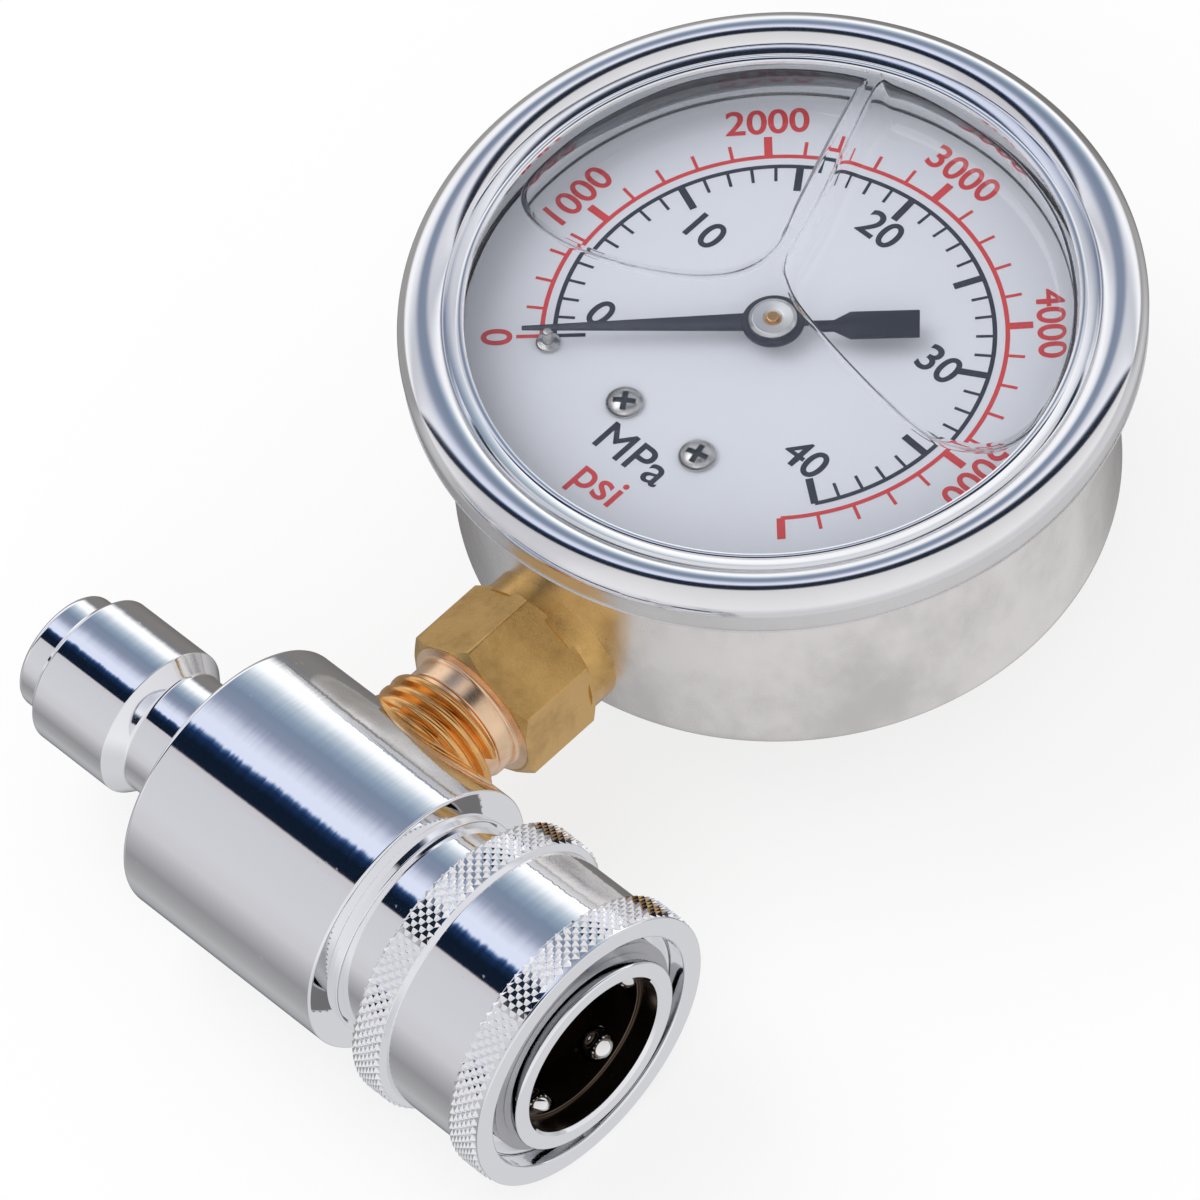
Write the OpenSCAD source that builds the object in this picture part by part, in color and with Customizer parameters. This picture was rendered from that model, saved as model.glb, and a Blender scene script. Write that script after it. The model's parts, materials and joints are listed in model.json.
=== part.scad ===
// Glycerine-filled pressure gauge on a quick-connect manifold for a pressure washer.
// Flow runs along +X from the plug to the coupler, the stem rises along +Y, the dial faces +Z.

/* [Gauge case] */
// Outer radius of the drawn case
case_r = 30.5; // [29:0.1:32]
// Height of the case back below the stem axis
case_back = 7.2; // [6.6:0.1:9]
// Sheet thickness of the case
case_wall = 0.8; // [0.6:0.1:1.2]
// Radius of the rounded back edge
case_corner = 2.4; // [1.2:0.1:4]
// Height of the flange face above the stem axis
flange_z = 16.6; // [16:0.1:19]
// Radius of the rolled shoulder under the flange
shoulder_r = 1.6; // [1:0.1:2.4]
// Width of the flat flange outside the shoulder
flange_w = 0.8; // [0.7:0.1:1.4]
// Radius of the filling hole at the top of the case
fill_r = 3.2; // [2.5:0.1:4]
// Height of the filling hole above the stem axis
fill_z = 4; // [2:0.5:6]
// Height of the filling plug's head
fill_head_h = 1.1; // [0.8:0.1:1.6]
// Length of the filling plug inside the case
fill_tail = 2; // [1.2:0.1:3]
// Overhang of the filling plug's head
fill_lip = 1; // [0.6:0.1:1.4]

/* [Bezel and window] */
// Thickness of the bezel outside the flange
bezel_wall = 0.8; // [0.5:0.1:1.4]
// Radius of the rounded bulge round the bezel
bezel_bulge = 2.4; // [1.8:0.1:2.8]
// Height of the bulge above the lip
bulge_rise = 0.9; // [0.6:0.1:1.2]
// Distance of the bezel's lip inside the case's outer radius
lip_cover = 2.9; // [2.3:0.1:3.6]
// Thickness of the bezel lip over the window
lip_t = 0.5; // [0.3:0.05:0.8]
// Radial width of the thin bead at the lip
bead_w = 0.7; // [0.4:0.1:1]
// Height of the crimped edge under the flange
crimp_h = 0.7; // [0.4:0.1:1.2]
// Width of the crimped edge under the flange
crimp_w = 0.6; // [0.4:0.1:0.7]
// Thickness of the window
window_t = 1.6; // [1:0.1:2.5]
// Thickness of the gasket between flange and window
gasket_t = 0.6; // [0.4:0.1:1.2]
// Radial width of the gasket skirt inside the case
gasket_w = 1; // [0.6:0.1:1.2]
// Height of the gasket skirt inside the case
gasket_skirt = 2.6; // [1:0.1:3]

/* [Dial and pointer] */
// Height of the dial face above the stem axis
dial_z = 12.8; // [12.5:0.1:14]
// Thickness of the dial plate
dial_t = 0.6; // [0.4:0.1:1]
// Angle of the zero mark, counter-clockwise from +X
zero_angle = 225; // [215:1:235]
// Radius of the stop pin's place on the dial
stop_radius = 20.3; // [19:0.1:21.5]
// Radius of the stop pin
stop_pin_r = 0.45; // [0.3:0.05:0.6]
// Height of the stop pin over the dial
stop_pin_h = 3; // [2.8:0.1:3.6]
// Radius of the stop pin's collar
stop_collar_r = 1.15; // [0.8:0.05:1.4]
// Height of the stop pin's collar
stop_collar_h = 0.5; // [0.3:0.1:0.8]
// Length of the pointer from pivot to tip
pointer_l = 22.6; // [21.5:0.1:24]
// Width of the pointer at its tip
pointer_tip_w = 0.4; // [0.3:0.05:0.6]
// Width of the pointer beside its hub
pointer_root_w = 2.1; // [1.6:0.1:2.6]
// Length of the pointer's tail
tail_l = 13.1; // [11:0.1:14]
// Length of the tail's straight plate
tail_plate_l = 6.2; // [5:0.1:7]
// Width of the tail's straight plate
tail_w = 2.9; // [2:0.1:3.6]
// Width of the tail's neck
tail_neck_w = 1.1; // [0.8:0.1:1.6]
// Thickness of the pointer
pointer_t = 0.4; // [0.3:0.05:0.6]
// Clear height from the dial to the pointer
pointer_lift = 1.9; // [1.5:0.1:2.1]
// Radius of the black disc under the hub
pointer_boss_r = 2.85; // [2.3:0.05:3.2]
// Height of that disc above and below the pointer
boss_rise = 0.1; // [0.1:0.05:0.3]
// Radius of the bright hub disc
hub_r = 2.2; // [1.6:0.05:2.6]
// Height of the bright hub disc
hub_h = 0.8; // [0.5:0.1:1]
// Radius of the pointer arbor
arbor_r = 0.6; // [0.5:0.05:0.8]
// Length of the arbor's end above the hub disc
arbor_end = 0.2; // [0.1:0.05:0.4]
// Radius of a dial screw's head
screw_head_r = 1.75; // [1.4:0.05:2.1]
// Height of a dial screw's head
screw_head_h = 0.9; // [0.6:0.1:1.1]
// Radius of a dial screw's shank
screw_r = 1; // [0.8:0.05:1.2]
// Length of a dial screw behind the dial
screw_l = 3; // [2:0.1:4]
// Distance of the dial screws either side of the stem axis
screw_x = 4.5; // [4.2:0.1:6]
// Distance of the dial screws below the pivot
screw_y = 14.7; // [13:0.1:16]

/* [Movement and tube] */
// Thickness of a movement plate
plate_t = 1; // [0.8:0.1:1.4]
// Clear height between the movement plates
plate_gap = 3.2; // [3:0.1:3.6]
// Half width of the movement plates
plate_x = 8; // [7:0.1:10]
// Length of the movement plates above the pivot
plate_top = 8; // [7:0.1:10]
// Length of the movement plates below the pivot
plate_low = 10.5; // [9.5:0.1:11.5]
// Radius of a movement pillar
pillar_r = 1.2; // [0.9:0.1:1.6]
// Inset of the pillars from the plate edge
pillar_inset = 1.8; // [1.7:0.1:2.4]
// Radius of the tube that the pressure winds up
tube_r = 1.7; // [1.2:0.1:2]
// Radius of that tube's coil
coil_r = 22; // [20:0.5:25]
// Turns of that tube's coil
coil_turns = 1.45; // [1.1:0.05:1.45]
// Clear height from the stem block to the coil above it
coil_gap = 0.4; // [0.3:0.05:0.5]

/* [Stem] */
// Width of the hexagon across its flats
hex_af = 14; // [13:0.1:14.4]
// Length of the hexagon
hex_l = 8.6; // [6:0.1:9]
// Radius of the collar between hexagon and case
collar_r = 7.2; // [6.6:0.1:7.4]
// Length of the collar between hexagon and case
collar_l = 1.7; // [1:0.1:3]
// Radius of the neck under the hexagon
neck_r = 5.9; // [5:0.1:6]
// Length of the neck under the hexagon
neck_l = 2.35; // [1:0.05:3]
// Radius of the stem thread
thread_r = 6.6; // [6.2:0.05:7]
// Length of the stem thread
thread_l = 11.5; // [9:0.1:12]
// Part of the stem thread that stays outside the body
thread_out = 3.5; // [2.5:0.1:4.5]
// Radius of the hole through the case wall for the stem
stem_hole_r = 5; // [4:0.1:5.2]
// Radius of the pressure passage in the stem
stem_bore_r = 1.8; // [1.2:0.1:2.4]
// Half width of the stem block inside the case
block_x = 7; // [6:0.1:8]
// Half height of the stem block inside the case
block_z = 4.4; // [3.5:0.1:4.6]
// Length of the stem block under the movement
block_seat = 3; // [2:0.1:5]
// Slope of the hexagon's turned edges in degrees
hex_bevel = 30; // [20:1:35]

/* [Manifold] */
// Radius of the manifold body
body_r = 13.55; // [12.5:0.05:15]
// Length of the body from the stem axis to the plug end
body_plug_l = 11.2; // [9.5:0.1:14]
// Length of the body from the stem axis to the coupler end
body_coupler_l = 12.6; // [10.5:0.1:14]
// Chamfer at the body's coupler end
body_chamfer = 2.2; // [1:0.1:2.6]
// Depth of that chamfer along the flow axis
body_chamfer_l = 0.3; // [0.3:0.1:1.6]
// Chamfer at the body's plug end
body_edge = 0.5; // [0.3:0.1:1]
// Radius of the raised ring at the coupler end
body_ring_r = 11.2; // [10.5:0.1:11.3]
// Length of the raised ring at the coupler end
body_ring_l = 0.8; // [0.5:0.1:1.2]
// Radius of the flow passage
flow_r = 3.5; // [2.5:0.1:4.5]
// Wall between the stem's hole and the sockets of plug and coupler
port_wall = 0.3; // [0.2:0.1:0.6]

/* [Plug] */
// Radius of the plug's barrel
plug_r = 7.45; // [7:0.05:7.5]
// Length of the plug outside the body
plug_l = 21.3; // [19:0.1:26]
// Radius of the plug's nose
nose_r = 5.85; // [5:0.05:6.2]
// Length of the plug's nose
nose_l = 3; // [2:0.1:4]
// Chamfer in front of the barrel
barrel_chamfer = 0.6; // [0.3:0.1:1]
// Length of the barrel
barrel_l = 9.4; // [7:0.1:10]
// Radius of the plug's neck
plug_neck_r = 6.1; // [5.5:0.1:6.5]
// Length of the cone from barrel to neck
plug_cone_l = 1.6; // [1:0.1:3]

/* [Coupler] */
// Outer radius of the coupler tube
tube_out_r = 9.8; // [9.4:0.05:10]
// Radius of the bore that takes a plug
bore_r = 7.7; // [7.6:0.05:8]
// Extra radius of the lead-in at the mouth
lead_step = 0.35; // [0.2:0.05:0.5]
// Depth of that lead-in from the mouth
lead_l = 2.4; // [2:0.05:2.5]
// Depth of the bore from the mouth
bore_l = 14; // [12:0.1:15]
// Chamfer at the mouth of the bore
mouth_chamfer = 0.3; // [0.2:0.1:0.8]
// Length of the coupler tube outside the body
tube_l = 21.6; // [20.5:0.1:24]
// Radius of the collar at the back of the coupler tube
back_collar_r = 10.7; // [10.5:0.05:10.9]
// Radius of a locking ball
ball_r = 1.6; // [1.4:0.05:1.7]
// Number of locking balls
ball_count = 6; // [6:1:6]
// Distance from the mouth to the balls
ball_depth = 4.3; // [4:0.1:5]
// How far a locked ball stands into the bore
ball_reach = 0.9; // [0.6:0.05:1]
// Width of the sealing ring's section
seal_w = 2; // [1.6:0.1:2.2]
// Distance of the sealing ring's section outside the bore
seal_set = 0.2; // [0.1:0.05:0.4]
// Distance from the mouth to the sealing ring
seal_depth = 9.6; // [9:0.1:10.5]
// Radial thickness of the retaining ring
ring_w = 1.4; // [1.2:0.1:1.6]
// Width of the retaining ring along the axis
ring_t = 0.9; // [0.6:0.1:1]

/* [Sleeve] */
// Wall of the sleeve's waist outside its skirt
sleeve_wall = 2.2; // [1.8:0.1:2.8]
// Height of the knurled bands above the waist
band_rise = 1; // [0.5:0.1:1.5]
// Length of each knurled band
band_l = 3.3; // [3:0.1:5]
// Gap left between sleeve and body when the sleeve is drawn back
sleeve_gap = 0.6; // [0.4:0.05:1]
// Overlap of the sleeve's skirt over the tube's collar
skirt_lap = 1; // [0.6:0.1:1.5]
// Distance of the sleeve's face behind the tube's mouth
sleeve_set = 0.7; // [0.3:0.05:1.5]
// Chamfer on the sleeve's front edge
sleeve_chamfer = 0.2; // [0.1:0.1:0.8]
// Width of the sleeve's face round its recess
face_w = 2.2; // [1.5:0.1:2.8]
// Travel of the sleeve towards the body
sleeve_travel = 4; // [3.5:0.1:4]
// Length of the land that holds the balls
land_l = 3.5; // [3.2:0.1:3.8]
// Part of that land in front of the balls
land_lead = 1.5; // [1.4:0.05:1.6]
// Gap from the land to the retaining ring
ring_gap = 0.25; // [0.25:0.05:0.4]
// Radius of the spring wire
spring_wire_r = 0.4; // [0.3:0.05:0.45]
// Turns of the sleeve spring
spring_turns = 4; // [3:1:5]

/* [Fits] */
// Running clearance of sliding and turning pairs
run_clear = 0.1; // [0.05:0.01:0.15]
// Clearance round the sleeve's skirt and spring
skirt_clear = 0.3; // [0.2:0.05:0.4]
// Running clearance of the arbor in its plates
arbor_clear = 0.05; // [0.02:0.01:0.08]
// Gap from the pointer to the stop pin
stop_gap = 0.1; // [0.05:0.05:0.2]
// Clearance of screws and pins in the dial
dial_clear = 0.1; // [0.05:0.05:0.2]
// Clearance round the dial inside the gasket
plate_clear = 0.3; // [0.1:0.05:0.5]
// Clearance round the window and gasket
glass_clear = 0.1; // [0.05:0.05:0.2]

/* [Hidden] */
$fn = 96;
eps = 0.01;

// Heights and radii of the gauge
case_in_r = case_r - case_wall;
skirt_out_r = case_in_r - glass_clear;
skirt_in_r = skirt_out_r - gasket_w;
dial_r = skirt_in_r - plate_clear;
lip_r = case_r - lip_cover;
flange_r = case_r + shoulder_r + flange_w;
bezel_r = flange_r + bezel_wall;
gasket_top = flange_z + gasket_t;
window_top = gasket_top + window_t;
bulge_z = window_top + lip_t + bulge_rise - bezel_bulge;
bulge_c = bezel_r - bezel_bulge;
back_plate_z = block_z;
front_plate_z = back_plate_z + plate_t + plate_gap;
pointer_z = dial_z + pointer_lift;
hub_z = pointer_z + pointer_t + boss_rise;
pointer_half_w = (pointer_tip_w + (pointer_root_w - pointer_tip_w) * (1 - stop_radius / pointer_l)) / 2;
rest_angle = zero_angle - asin((pointer_half_w + stop_pin_r + stop_gap) / stop_radius);

// Places along the stem, which carries the case on its collar
hex_low = body_r + thread_out + neck_l;
thread_low = body_r + thread_out - thread_l;
collar_low = hex_low + hex_l;
case_low = collar_low + collar_l;
gauge_offset = case_low + case_r;
block_high = gauge_offset - plate_low + block_seat;
post_y = gauge_offset - screw_y;
coil_pitch = block_z + tube_r + coil_gap;
coil_start = 270 + asin(block_x / (coil_r - tube_r)) + 0.2;

// Places along the flow axis
ring_x = body_coupler_l + body_ring_l;
mouth_x = body_coupler_l + tube_l;
ball_x = mouth_x - ball_depth;
seal_x = mouth_x - seal_depth;
bore_x = mouth_x - bore_l;
nose_x = -body_plug_l - plug_l;
barrel_x = nose_x + nose_l;
sleeve_front = mouth_x - sleeve_set;
sleeve_back = ring_x + sleeve_travel + sleeve_gap;
collar_x = sleeve_back + skirt_lap;
socket_x = thread_r + port_wall;
plug_tail_r = plug_neck_r + 0.8;
coupler_tail_r = tube_out_r - 0.8;

// Places of the balls and the sleeve's ramp
ball_c = bore_r + ball_r - ball_reach;
ball_out = ball_reach + run_clear;
ramp = atan(ball_out / sleeve_travel);
ramp_r = ball_c + (ball_r + run_clear) / cos(ramp);
land_front = ball_x + land_lead;
land_back = land_front - land_l;
skirt_r = back_collar_r + skirt_clear;
waist_r = skirt_r + sleeve_wall;
band_r = waist_r + band_rise;
recess_r = band_r - face_w;
lead_r = bore_r + lead_step;
land_r = tube_out_r + run_clear;
ring_back = land_front + ring_gap;

// Extent of the whole part, so that it stands centred on its lowest plane
low_x = min(nose_x, -bezel_r);
high_x = max(mouth_x, bezel_r);
low_y = -max(body_r, band_r);
high_y = gauge_offset + bezel_r;
low_z = -max(body_r, band_r, case_back);
part_shift = [-(low_x + high_x) / 2, -(low_y + high_y) / 2, -low_z];

// Points of an arc with centre c and radius r between two angles
function arc(c, r, a0, a1, n = 6) =
    [for (i = [0 : n]) c + r * [cos(a0 + (a1 - a0) * i / n), sin(a0 + (a1 - a0) * i / n)]];

// One ring of a swept wire: a polygon round point p in the plane of axes u and v
function wire_ring(p, u, v, r, sides) =
    [for (i = [0 : sides - 1]) p + r * (cos(360 * i / sides) * u + sin(360 * i / sides) * v)];

// Places a piece that turns round the flow axis, drawn along +Z
module along_flow(x = 0) {
    translate(part_shift + [x, 0, 0]) rotate([0, 90, 0]) children();
}

// Places a piece that turns round the stem axis, drawn along +Z from y
module along_stem(y = 0) {
    translate(part_shift + [0, y, 0]) rotate([-90, 0, 0]) children();
}

// Places a piece of the gauge, drawn round the pivot with heights above the stem axis
module at_gauge() {
    translate(part_shift + [0, gauge_offset, 0]) children();
}

// A wire of radius r wound round Z, closed at both ends
module coil(mean_r, r, z0, rise, turns, start = 0, sides = 8, steps = 16) {
    n = round(turns * steps);
    rings = [for (i = [0 : n])
        let (a = start + 360 * turns * i / n, d = [cos(a), sin(a), 0])
        wire_ring([mean_r * d[0], mean_r * d[1], z0 + rise * i / n], d, [0, 0, 1], r, sides)];
    points = [for (ring = rings) each ring];
    walls = [for (i = [0 : n - 1], j = [0 : sides - 1])
        [i * sides + j, i * sides + (j + 1) % sides, (i + 1) * sides + (j + 1) % sides, (i + 1) * sides + j]];
    first = [for (j = [0 : sides - 1]) sides - 1 - j];
    last = [for (j = [0 : sides - 1]) n * sides + j];
    polyhedron(points = points, faces = concat(walls, [first], [last]));
}

// Drawn steel case with a rolled shoulder and a flange
module case() {
    shoulder = [case_r + shoulder_r, flange_z - case_wall - shoulder_r];
    outline = concat(
        [[0, -case_back]],
        arc([case_r - case_corner, -case_back + case_corner], case_corner, -90, 0),
        arc(shoulder, shoulder_r, 180, 90),
        [[flange_r, flange_z - case_wall], [flange_r, flange_z]],
        arc(shoulder, shoulder_r + case_wall, 90, 180),
        arc([case_r - case_corner, -case_back + case_corner], case_corner - case_wall, 0, -90),
        [[0, -case_back + case_wall]]
    );
    color("#b9b2aa") {
        difference() {
            at_gauge() rotate_extrude() polygon(outline);
            along_stem(case_low - 1) cylinder(r = stem_hole_r, h = 4);
            along_stem(gauge_offset + case_r / 2) translate([0, -fill_z, 0]) cylinder(r = fill_r, h = case_r);
        }
    }
}

// Crimped bezel with a rounded bulge, a cone and a thin bead at the lip
module bezel_ring() {
    lip_z = window_top + lip_t;
    bead = lip_r + bead_w;
    groove = bulge_c + bezel_bulge * cos(135);
    groove_z = bulge_z + bezel_bulge * sin(135);
    seat_z = flange_z - case_wall;
    section = concat(
        [[lip_r, window_top], [flange_r, window_top], [flange_r, seat_z]],
        [[flange_r - crimp_w, seat_z], [flange_r - crimp_w, seat_z - crimp_h / 2]],
        [[flange_r, seat_z - crimp_h], [bezel_r - bezel_wall / 3, seat_z - crimp_h / 2]],
        [[bezel_r, seat_z]],
        arc([bulge_c, bulge_z], bezel_bulge, 0, 135, 10),
        [[groove - 0.15, groove_z - 0.2], [groove - 0.3, groove_z]],
        [[bead, lip_z], [bead - bead_w * 0.2, lip_z + 0.1], [lip_r + bead_w * 0.2, lip_z]]
    );
    color("#d8d9dc") at_gauge() rotate_extrude() polygon(section);
}

// Flat window under the bezel lip
module window() {
    color("#dfe8ee", 0.35) at_gauge() translate([0, 0, gasket_top])
        cylinder(r = flange_r - glass_clear, h = window_t);
}

// Rubber gasket with a skirt inside the case
module window_gasket() {
    section = [
        [skirt_in_r, flange_z - gasket_skirt],
        [skirt_out_r, flange_z - gasket_skirt],
        [skirt_out_r, flange_z],
        [flange_r - glass_clear, flange_z],
        [flange_r - glass_clear, gasket_top],
        [skirt_in_r, gasket_top]
    ];
    color("#17181b") at_gauge() rotate_extrude() polygon(section);
}

// Rubber plug in the filling hole
module fill_plug() {
    section = [
        [0, case_in_r - fill_tail],
        [fill_r, case_in_r - fill_tail],
        [fill_r, case_r],
        [fill_r + fill_lip, case_r],
        [fill_r + fill_lip / 2, case_r + fill_head_h],
        [0, case_r + fill_head_h]
    ];
    color("#222325") along_stem(gauge_offset) translate([0, -fill_z, 0]) rotate_extrude() polygon(section);
}

// Dial plate with holes for the arbor, the screws and the stop pin
module dial() {
    color("#eef1f6") at_gauge() difference() {
        translate([0, 0, dial_z - dial_t]) cylinder(r = dial_r, h = dial_t);
        translate([0, 0, dial_z - dial_t - 1]) cylinder(r = arbor_r + 1, h = dial_t + 2);
        at_screws() translate([0, 0, dial_z - dial_t - 1]) cylinder(r = screw_r + dial_clear, h = dial_t + 2);
        at_stop() translate([0, 0, dial_z - dial_t - 1]) cylinder(r = stop_pin_r, h = dial_t + 2);
    }
}

// Repeats a child at both dial screws
module at_screws() {
    for (side = [-1, 1]) translate([side * screw_x, -screw_y, 0]) children();
}

// Places a child at the stop pin
module at_stop() {
    rotate([0, 0, zero_angle]) translate([stop_radius, 0, 0]) children();
}

// Two cross-recessed screws that hold the dial on its posts
module dial_screws() {
    recess_l = screw_head_r * 1.2;
    recess_w = screw_head_r * 0.32;
    color("#c9c7c2") at_gauge() at_screws() difference() {
        union() {
            translate([0, 0, dial_z]) cylinder(r = screw_head_r, h = screw_head_h * 0.6);
            translate([0, 0, dial_z + screw_head_h * 0.6])
                cylinder(r1 = screw_head_r, r2 = screw_head_r * 0.8, h = screw_head_h * 0.4);
            translate([0, 0, dial_z - dial_t - screw_l]) cylinder(r = screw_r, h = dial_t + screw_l);
        }
        for (turn = [0, 90]) rotate([0, 0, turn])
            translate([-recess_l / 2, -recess_w / 2, dial_z + screw_head_h * 0.35])
                cube([recess_l, recess_w, screw_head_h]);
    }
}

// Stop pin with its collar
module stop_pin() {
    color("#b7a98d") at_gauge() at_stop() {
        translate([0, 0, dial_z - dial_t]) cylinder(r = stop_pin_r, h = dial_t + stop_pin_h);
        translate([0, 0, dial_z]) cylinder(r = stop_collar_r, h = stop_collar_h);
    }
}

// Pointer with a tapered blade and a balanced tail
module pointer() {
    blade = [
        [0, pointer_root_w / 2],
        [pointer_l, pointer_tip_w / 2],
        [pointer_l, -pointer_tip_w / 2],
        [0, -pointer_root_w / 2],
        [-pointer_boss_r, -tail_neck_w / 2],
        [-tail_l + tail_plate_l + 1.5, -tail_neck_w / 2],
        [-tail_l + tail_plate_l, -tail_w / 2],
        [-tail_l, -tail_w / 2],
        [-tail_l, tail_w / 2],
        [-tail_l + tail_plate_l, tail_w / 2],
        [-tail_l + tail_plate_l + 1.5, tail_neck_w / 2],
        [-pointer_boss_r, tail_neck_w / 2]
    ];
    color("#1b1d24") at_gauge() rotate([0, 0, rest_angle]) translate([0, 0, pointer_z]) difference() {
        union() {
            linear_extrude(pointer_t) polygon(blade);
            translate([0, 0, -boss_rise]) cylinder(r = pointer_boss_r, h = pointer_t + 2 * boss_rise);
        }
        translate([0, 0, -1]) cylinder(r = arbor_r, h = pointer_t + 2);
    }
}

// Bright disc that fixes the pointer on its arbor
module pointer_hub() {
    color("#d5d6d8") at_gauge() translate([0, 0, hub_z]) difference() {
        union() {
            cylinder(r = hub_r, h = hub_h * 0.7);
            translate([0, 0, hub_h * 0.7]) cylinder(r1 = hub_r, r2 = hub_r * 0.8, h = hub_h * 0.3);
        }
        translate([0, 0, -1]) cylinder(r = arbor_r, h = hub_h + 2);
    }
}

// Arbor that carries the pointer through both plates
module pointer_arbor() {
    color("#b98f4a") at_gauge() translate([0, 0, back_plate_z + 0.1])
        cylinder(r = arbor_r, h = hub_z + hub_h + arbor_end - back_plate_z - 0.1);
}

// Places of the movement's pillars
module at_pillars() {
    for (x = [-1, 1], y = [-plate_low + pillar_inset, plate_top - pillar_inset])
        translate([x * (plate_x - pillar_inset), y, 0]) children();
}

// A movement plate with the arbor's bearing
module movement_plate(z) {
    color("#c0a060") at_gauge() translate([0, 0, z]) difference() {
        translate([-plate_x, -plate_low, 0]) cube([2 * plate_x, plate_low + plate_top, plate_t]);
        translate([0, 0, -1]) cylinder(r = arbor_r + arbor_clear, h = plate_t + 2);
    }
}

// Plate that sits on the stem block
module movement_back() {
    movement_plate(back_plate_z);
}

// Plate behind the dial
module movement_front() {
    movement_plate(front_plate_z);
}

// Pillars between the movement plates
module movement_pillars() {
    color("#b08d4c") at_gauge() at_pillars() translate([0, 0, back_plate_z + plate_t])
        cylinder(r = pillar_r, h = plate_gap);
}

// Coiled tube that winds up under pressure
module pressure_tube() {
    color("#a9794a") at_gauge()
        coil(coil_r, tube_r, 0, coil_pitch * coil_turns, coil_turns, start = coil_start, sides = 10, steps = 24);
}

// Hexagon with turned edges, along +Z
module hexagon() {
    out = hex_af;
    bevel = (out - collar_r) * tan(hex_bevel);
    section = [
        [0, 0],
        [collar_r - 0.2, 0],
        [out, bevel],
        [out, hex_l - bevel],
        [collar_r, hex_l],
        [0, hex_l]
    ];
    intersection() {
        cylinder(d = hex_af / cos(30), h = hex_l, $fn = 6);
        rotate_extrude() polygon(section);
    }
}

// Brass stem with thread, neck, hexagon and a collar that seats on the case
module stem() {
    color("#b58a45") difference() {
        union() {
            along_stem(thread_low) cylinder(r = thread_r, h = thread_l);
            along_stem(hex_low - neck_l - 1) cylinder(r = neck_r, h = neck_l + 2);
            along_stem(hex_low) hexagon();
            difference() {
                along_stem(collar_low - 1) cylinder(r = collar_r, h = 4);
                at_gauge() translate([0, 0, -case_back - 5]) cylinder(r = case_r, h = case_back + flange_z);
            }
            along_stem(collar_low - 1) cylinder(r = stem_hole_r, h = case_low - collar_low + 3);
        }
        along_stem(thread_low - 1) cylinder(r = stem_bore_r, h = case_low - thread_low + 5);
    }
}

// Block inside the case that carries the tube, the movement and the dial posts
module stem_block() {
    color("#b58a45") difference() {
        union() {
            intersection() {
                translate(part_shift + [-block_x, case_low, -block_z])
                    cube([2 * block_x, block_high - case_low, 2 * block_z]);
                at_gauge() translate([0, 0, -case_back]) cylinder(r = case_in_r, h = case_back + flange_z);
            }
            at_gauge() at_screws() cylinder(r = screw_head_r, h = dial_z - dial_t);
        }
        along_stem(case_low) cylinder(r = stem_hole_r, h = 2);
        along_stem(case_low) cylinder(r = stem_bore_r, h = post_y - case_low);
        at_gauge() at_screws() translate([0, 0, dial_z - dial_t - screw_l]) cylinder(r = screw_r, h = screw_l + 1);
    }
}

// Chrome body that joins plug, stem and coupler
module manifold_body() {
    length = body_plug_l + body_coupler_l;
    section = [
        [flow_r, 0],
        [body_r - body_edge, 0],
        [body_r, body_edge],
        [body_r, length - body_chamfer_l],
        [body_r - body_chamfer, length],
        [body_ring_r, length],
        [body_ring_r, length + body_ring_l],
        [flow_r, length + body_ring_l]
    ];
    color("#c7ccd4") difference() {
        along_flow(-body_plug_l) rotate_extrude() polygon(section);
        along_flow(-body_plug_l - 1) cylinder(r = plug_tail_r, h = body_plug_l - socket_x + 1);
        along_flow(socket_x) cylinder(r = coupler_tail_r, h = ring_x - socket_x + 1);
        along_stem(thread_low) cylinder(r = thread_r, h = thread_l);
        along_stem(0) cylinder(r = stem_bore_r, h = thread_low + 1);
    }
}

// Male plug with nose, barrel, cone and neck
module plug() {
    cone_x = nose_l + barrel_l;
    section = [
        [flow_r, 0],
        [nose_r - 0.5, 0],
        [nose_r, 0.5],
        [nose_r, nose_l],
        [plug_r - barrel_chamfer, nose_l],
        [plug_r, nose_l + barrel_chamfer],
        [plug_r, cone_x],
        [plug_neck_r, cone_x + plug_cone_l],
        [plug_neck_r, plug_l],
        [plug_tail_r, plug_l],
        [plug_tail_r, -socket_x - nose_x],
        [flow_r, -socket_x - nose_x]
    ];
    color("#ccd0d6") along_flow(nose_x) rotate_extrude() polygon(section);
}

// Coupler tube with its bore, seal groove, ball holes and ring groove
module coupler_tube() {
    groove_r = bore_r + seal_set + seal_w / 2;
    section = [
        [flow_r, socket_x],
        [coupler_tail_r, socket_x],
        [coupler_tail_r, ring_x],
        [back_collar_r, ring_x],
        [back_collar_r, collar_x],
        [tube_out_r, collar_x],
        [tube_out_r, ring_back],
        [tube_out_r - 0.4, ring_back],
        [tube_out_r - 0.4, ring_back + ring_t],
        [tube_out_r, ring_back + ring_t],
        [tube_out_r, mouth_x - 0.3],
        [tube_out_r - 0.3, mouth_x],
        [lead_r + mouth_chamfer, mouth_x],
        [lead_r, mouth_x - mouth_chamfer],
        [lead_r, mouth_x - lead_l],
        [bore_r, mouth_x - lead_l],
        [bore_r, seal_x + seal_w / 2],
        [groove_r, seal_x + seal_w / 2],
        [groove_r, seal_x - seal_w / 2],
        [bore_r, seal_x - seal_w / 2],
        [bore_r, bore_x],
        [flow_r, bore_x - 1.5]
    ];
    color("#d3d5d9") difference() {
        along_flow() rotate_extrude() polygon(section);
        for (i = [1 : ball_count]) at_ball(i) {
            translate([0, 0, -0.7]) cylinder(r1 = ball_r - 0.1, r2 = ball_r + run_clear, h = 0.7 + eps);
            translate([0, 0, -2]) cylinder(r = ball_r - 0.1, h = 2);
            cylinder(r = ball_r + run_clear, h = 4);
        }
    }
}

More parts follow.
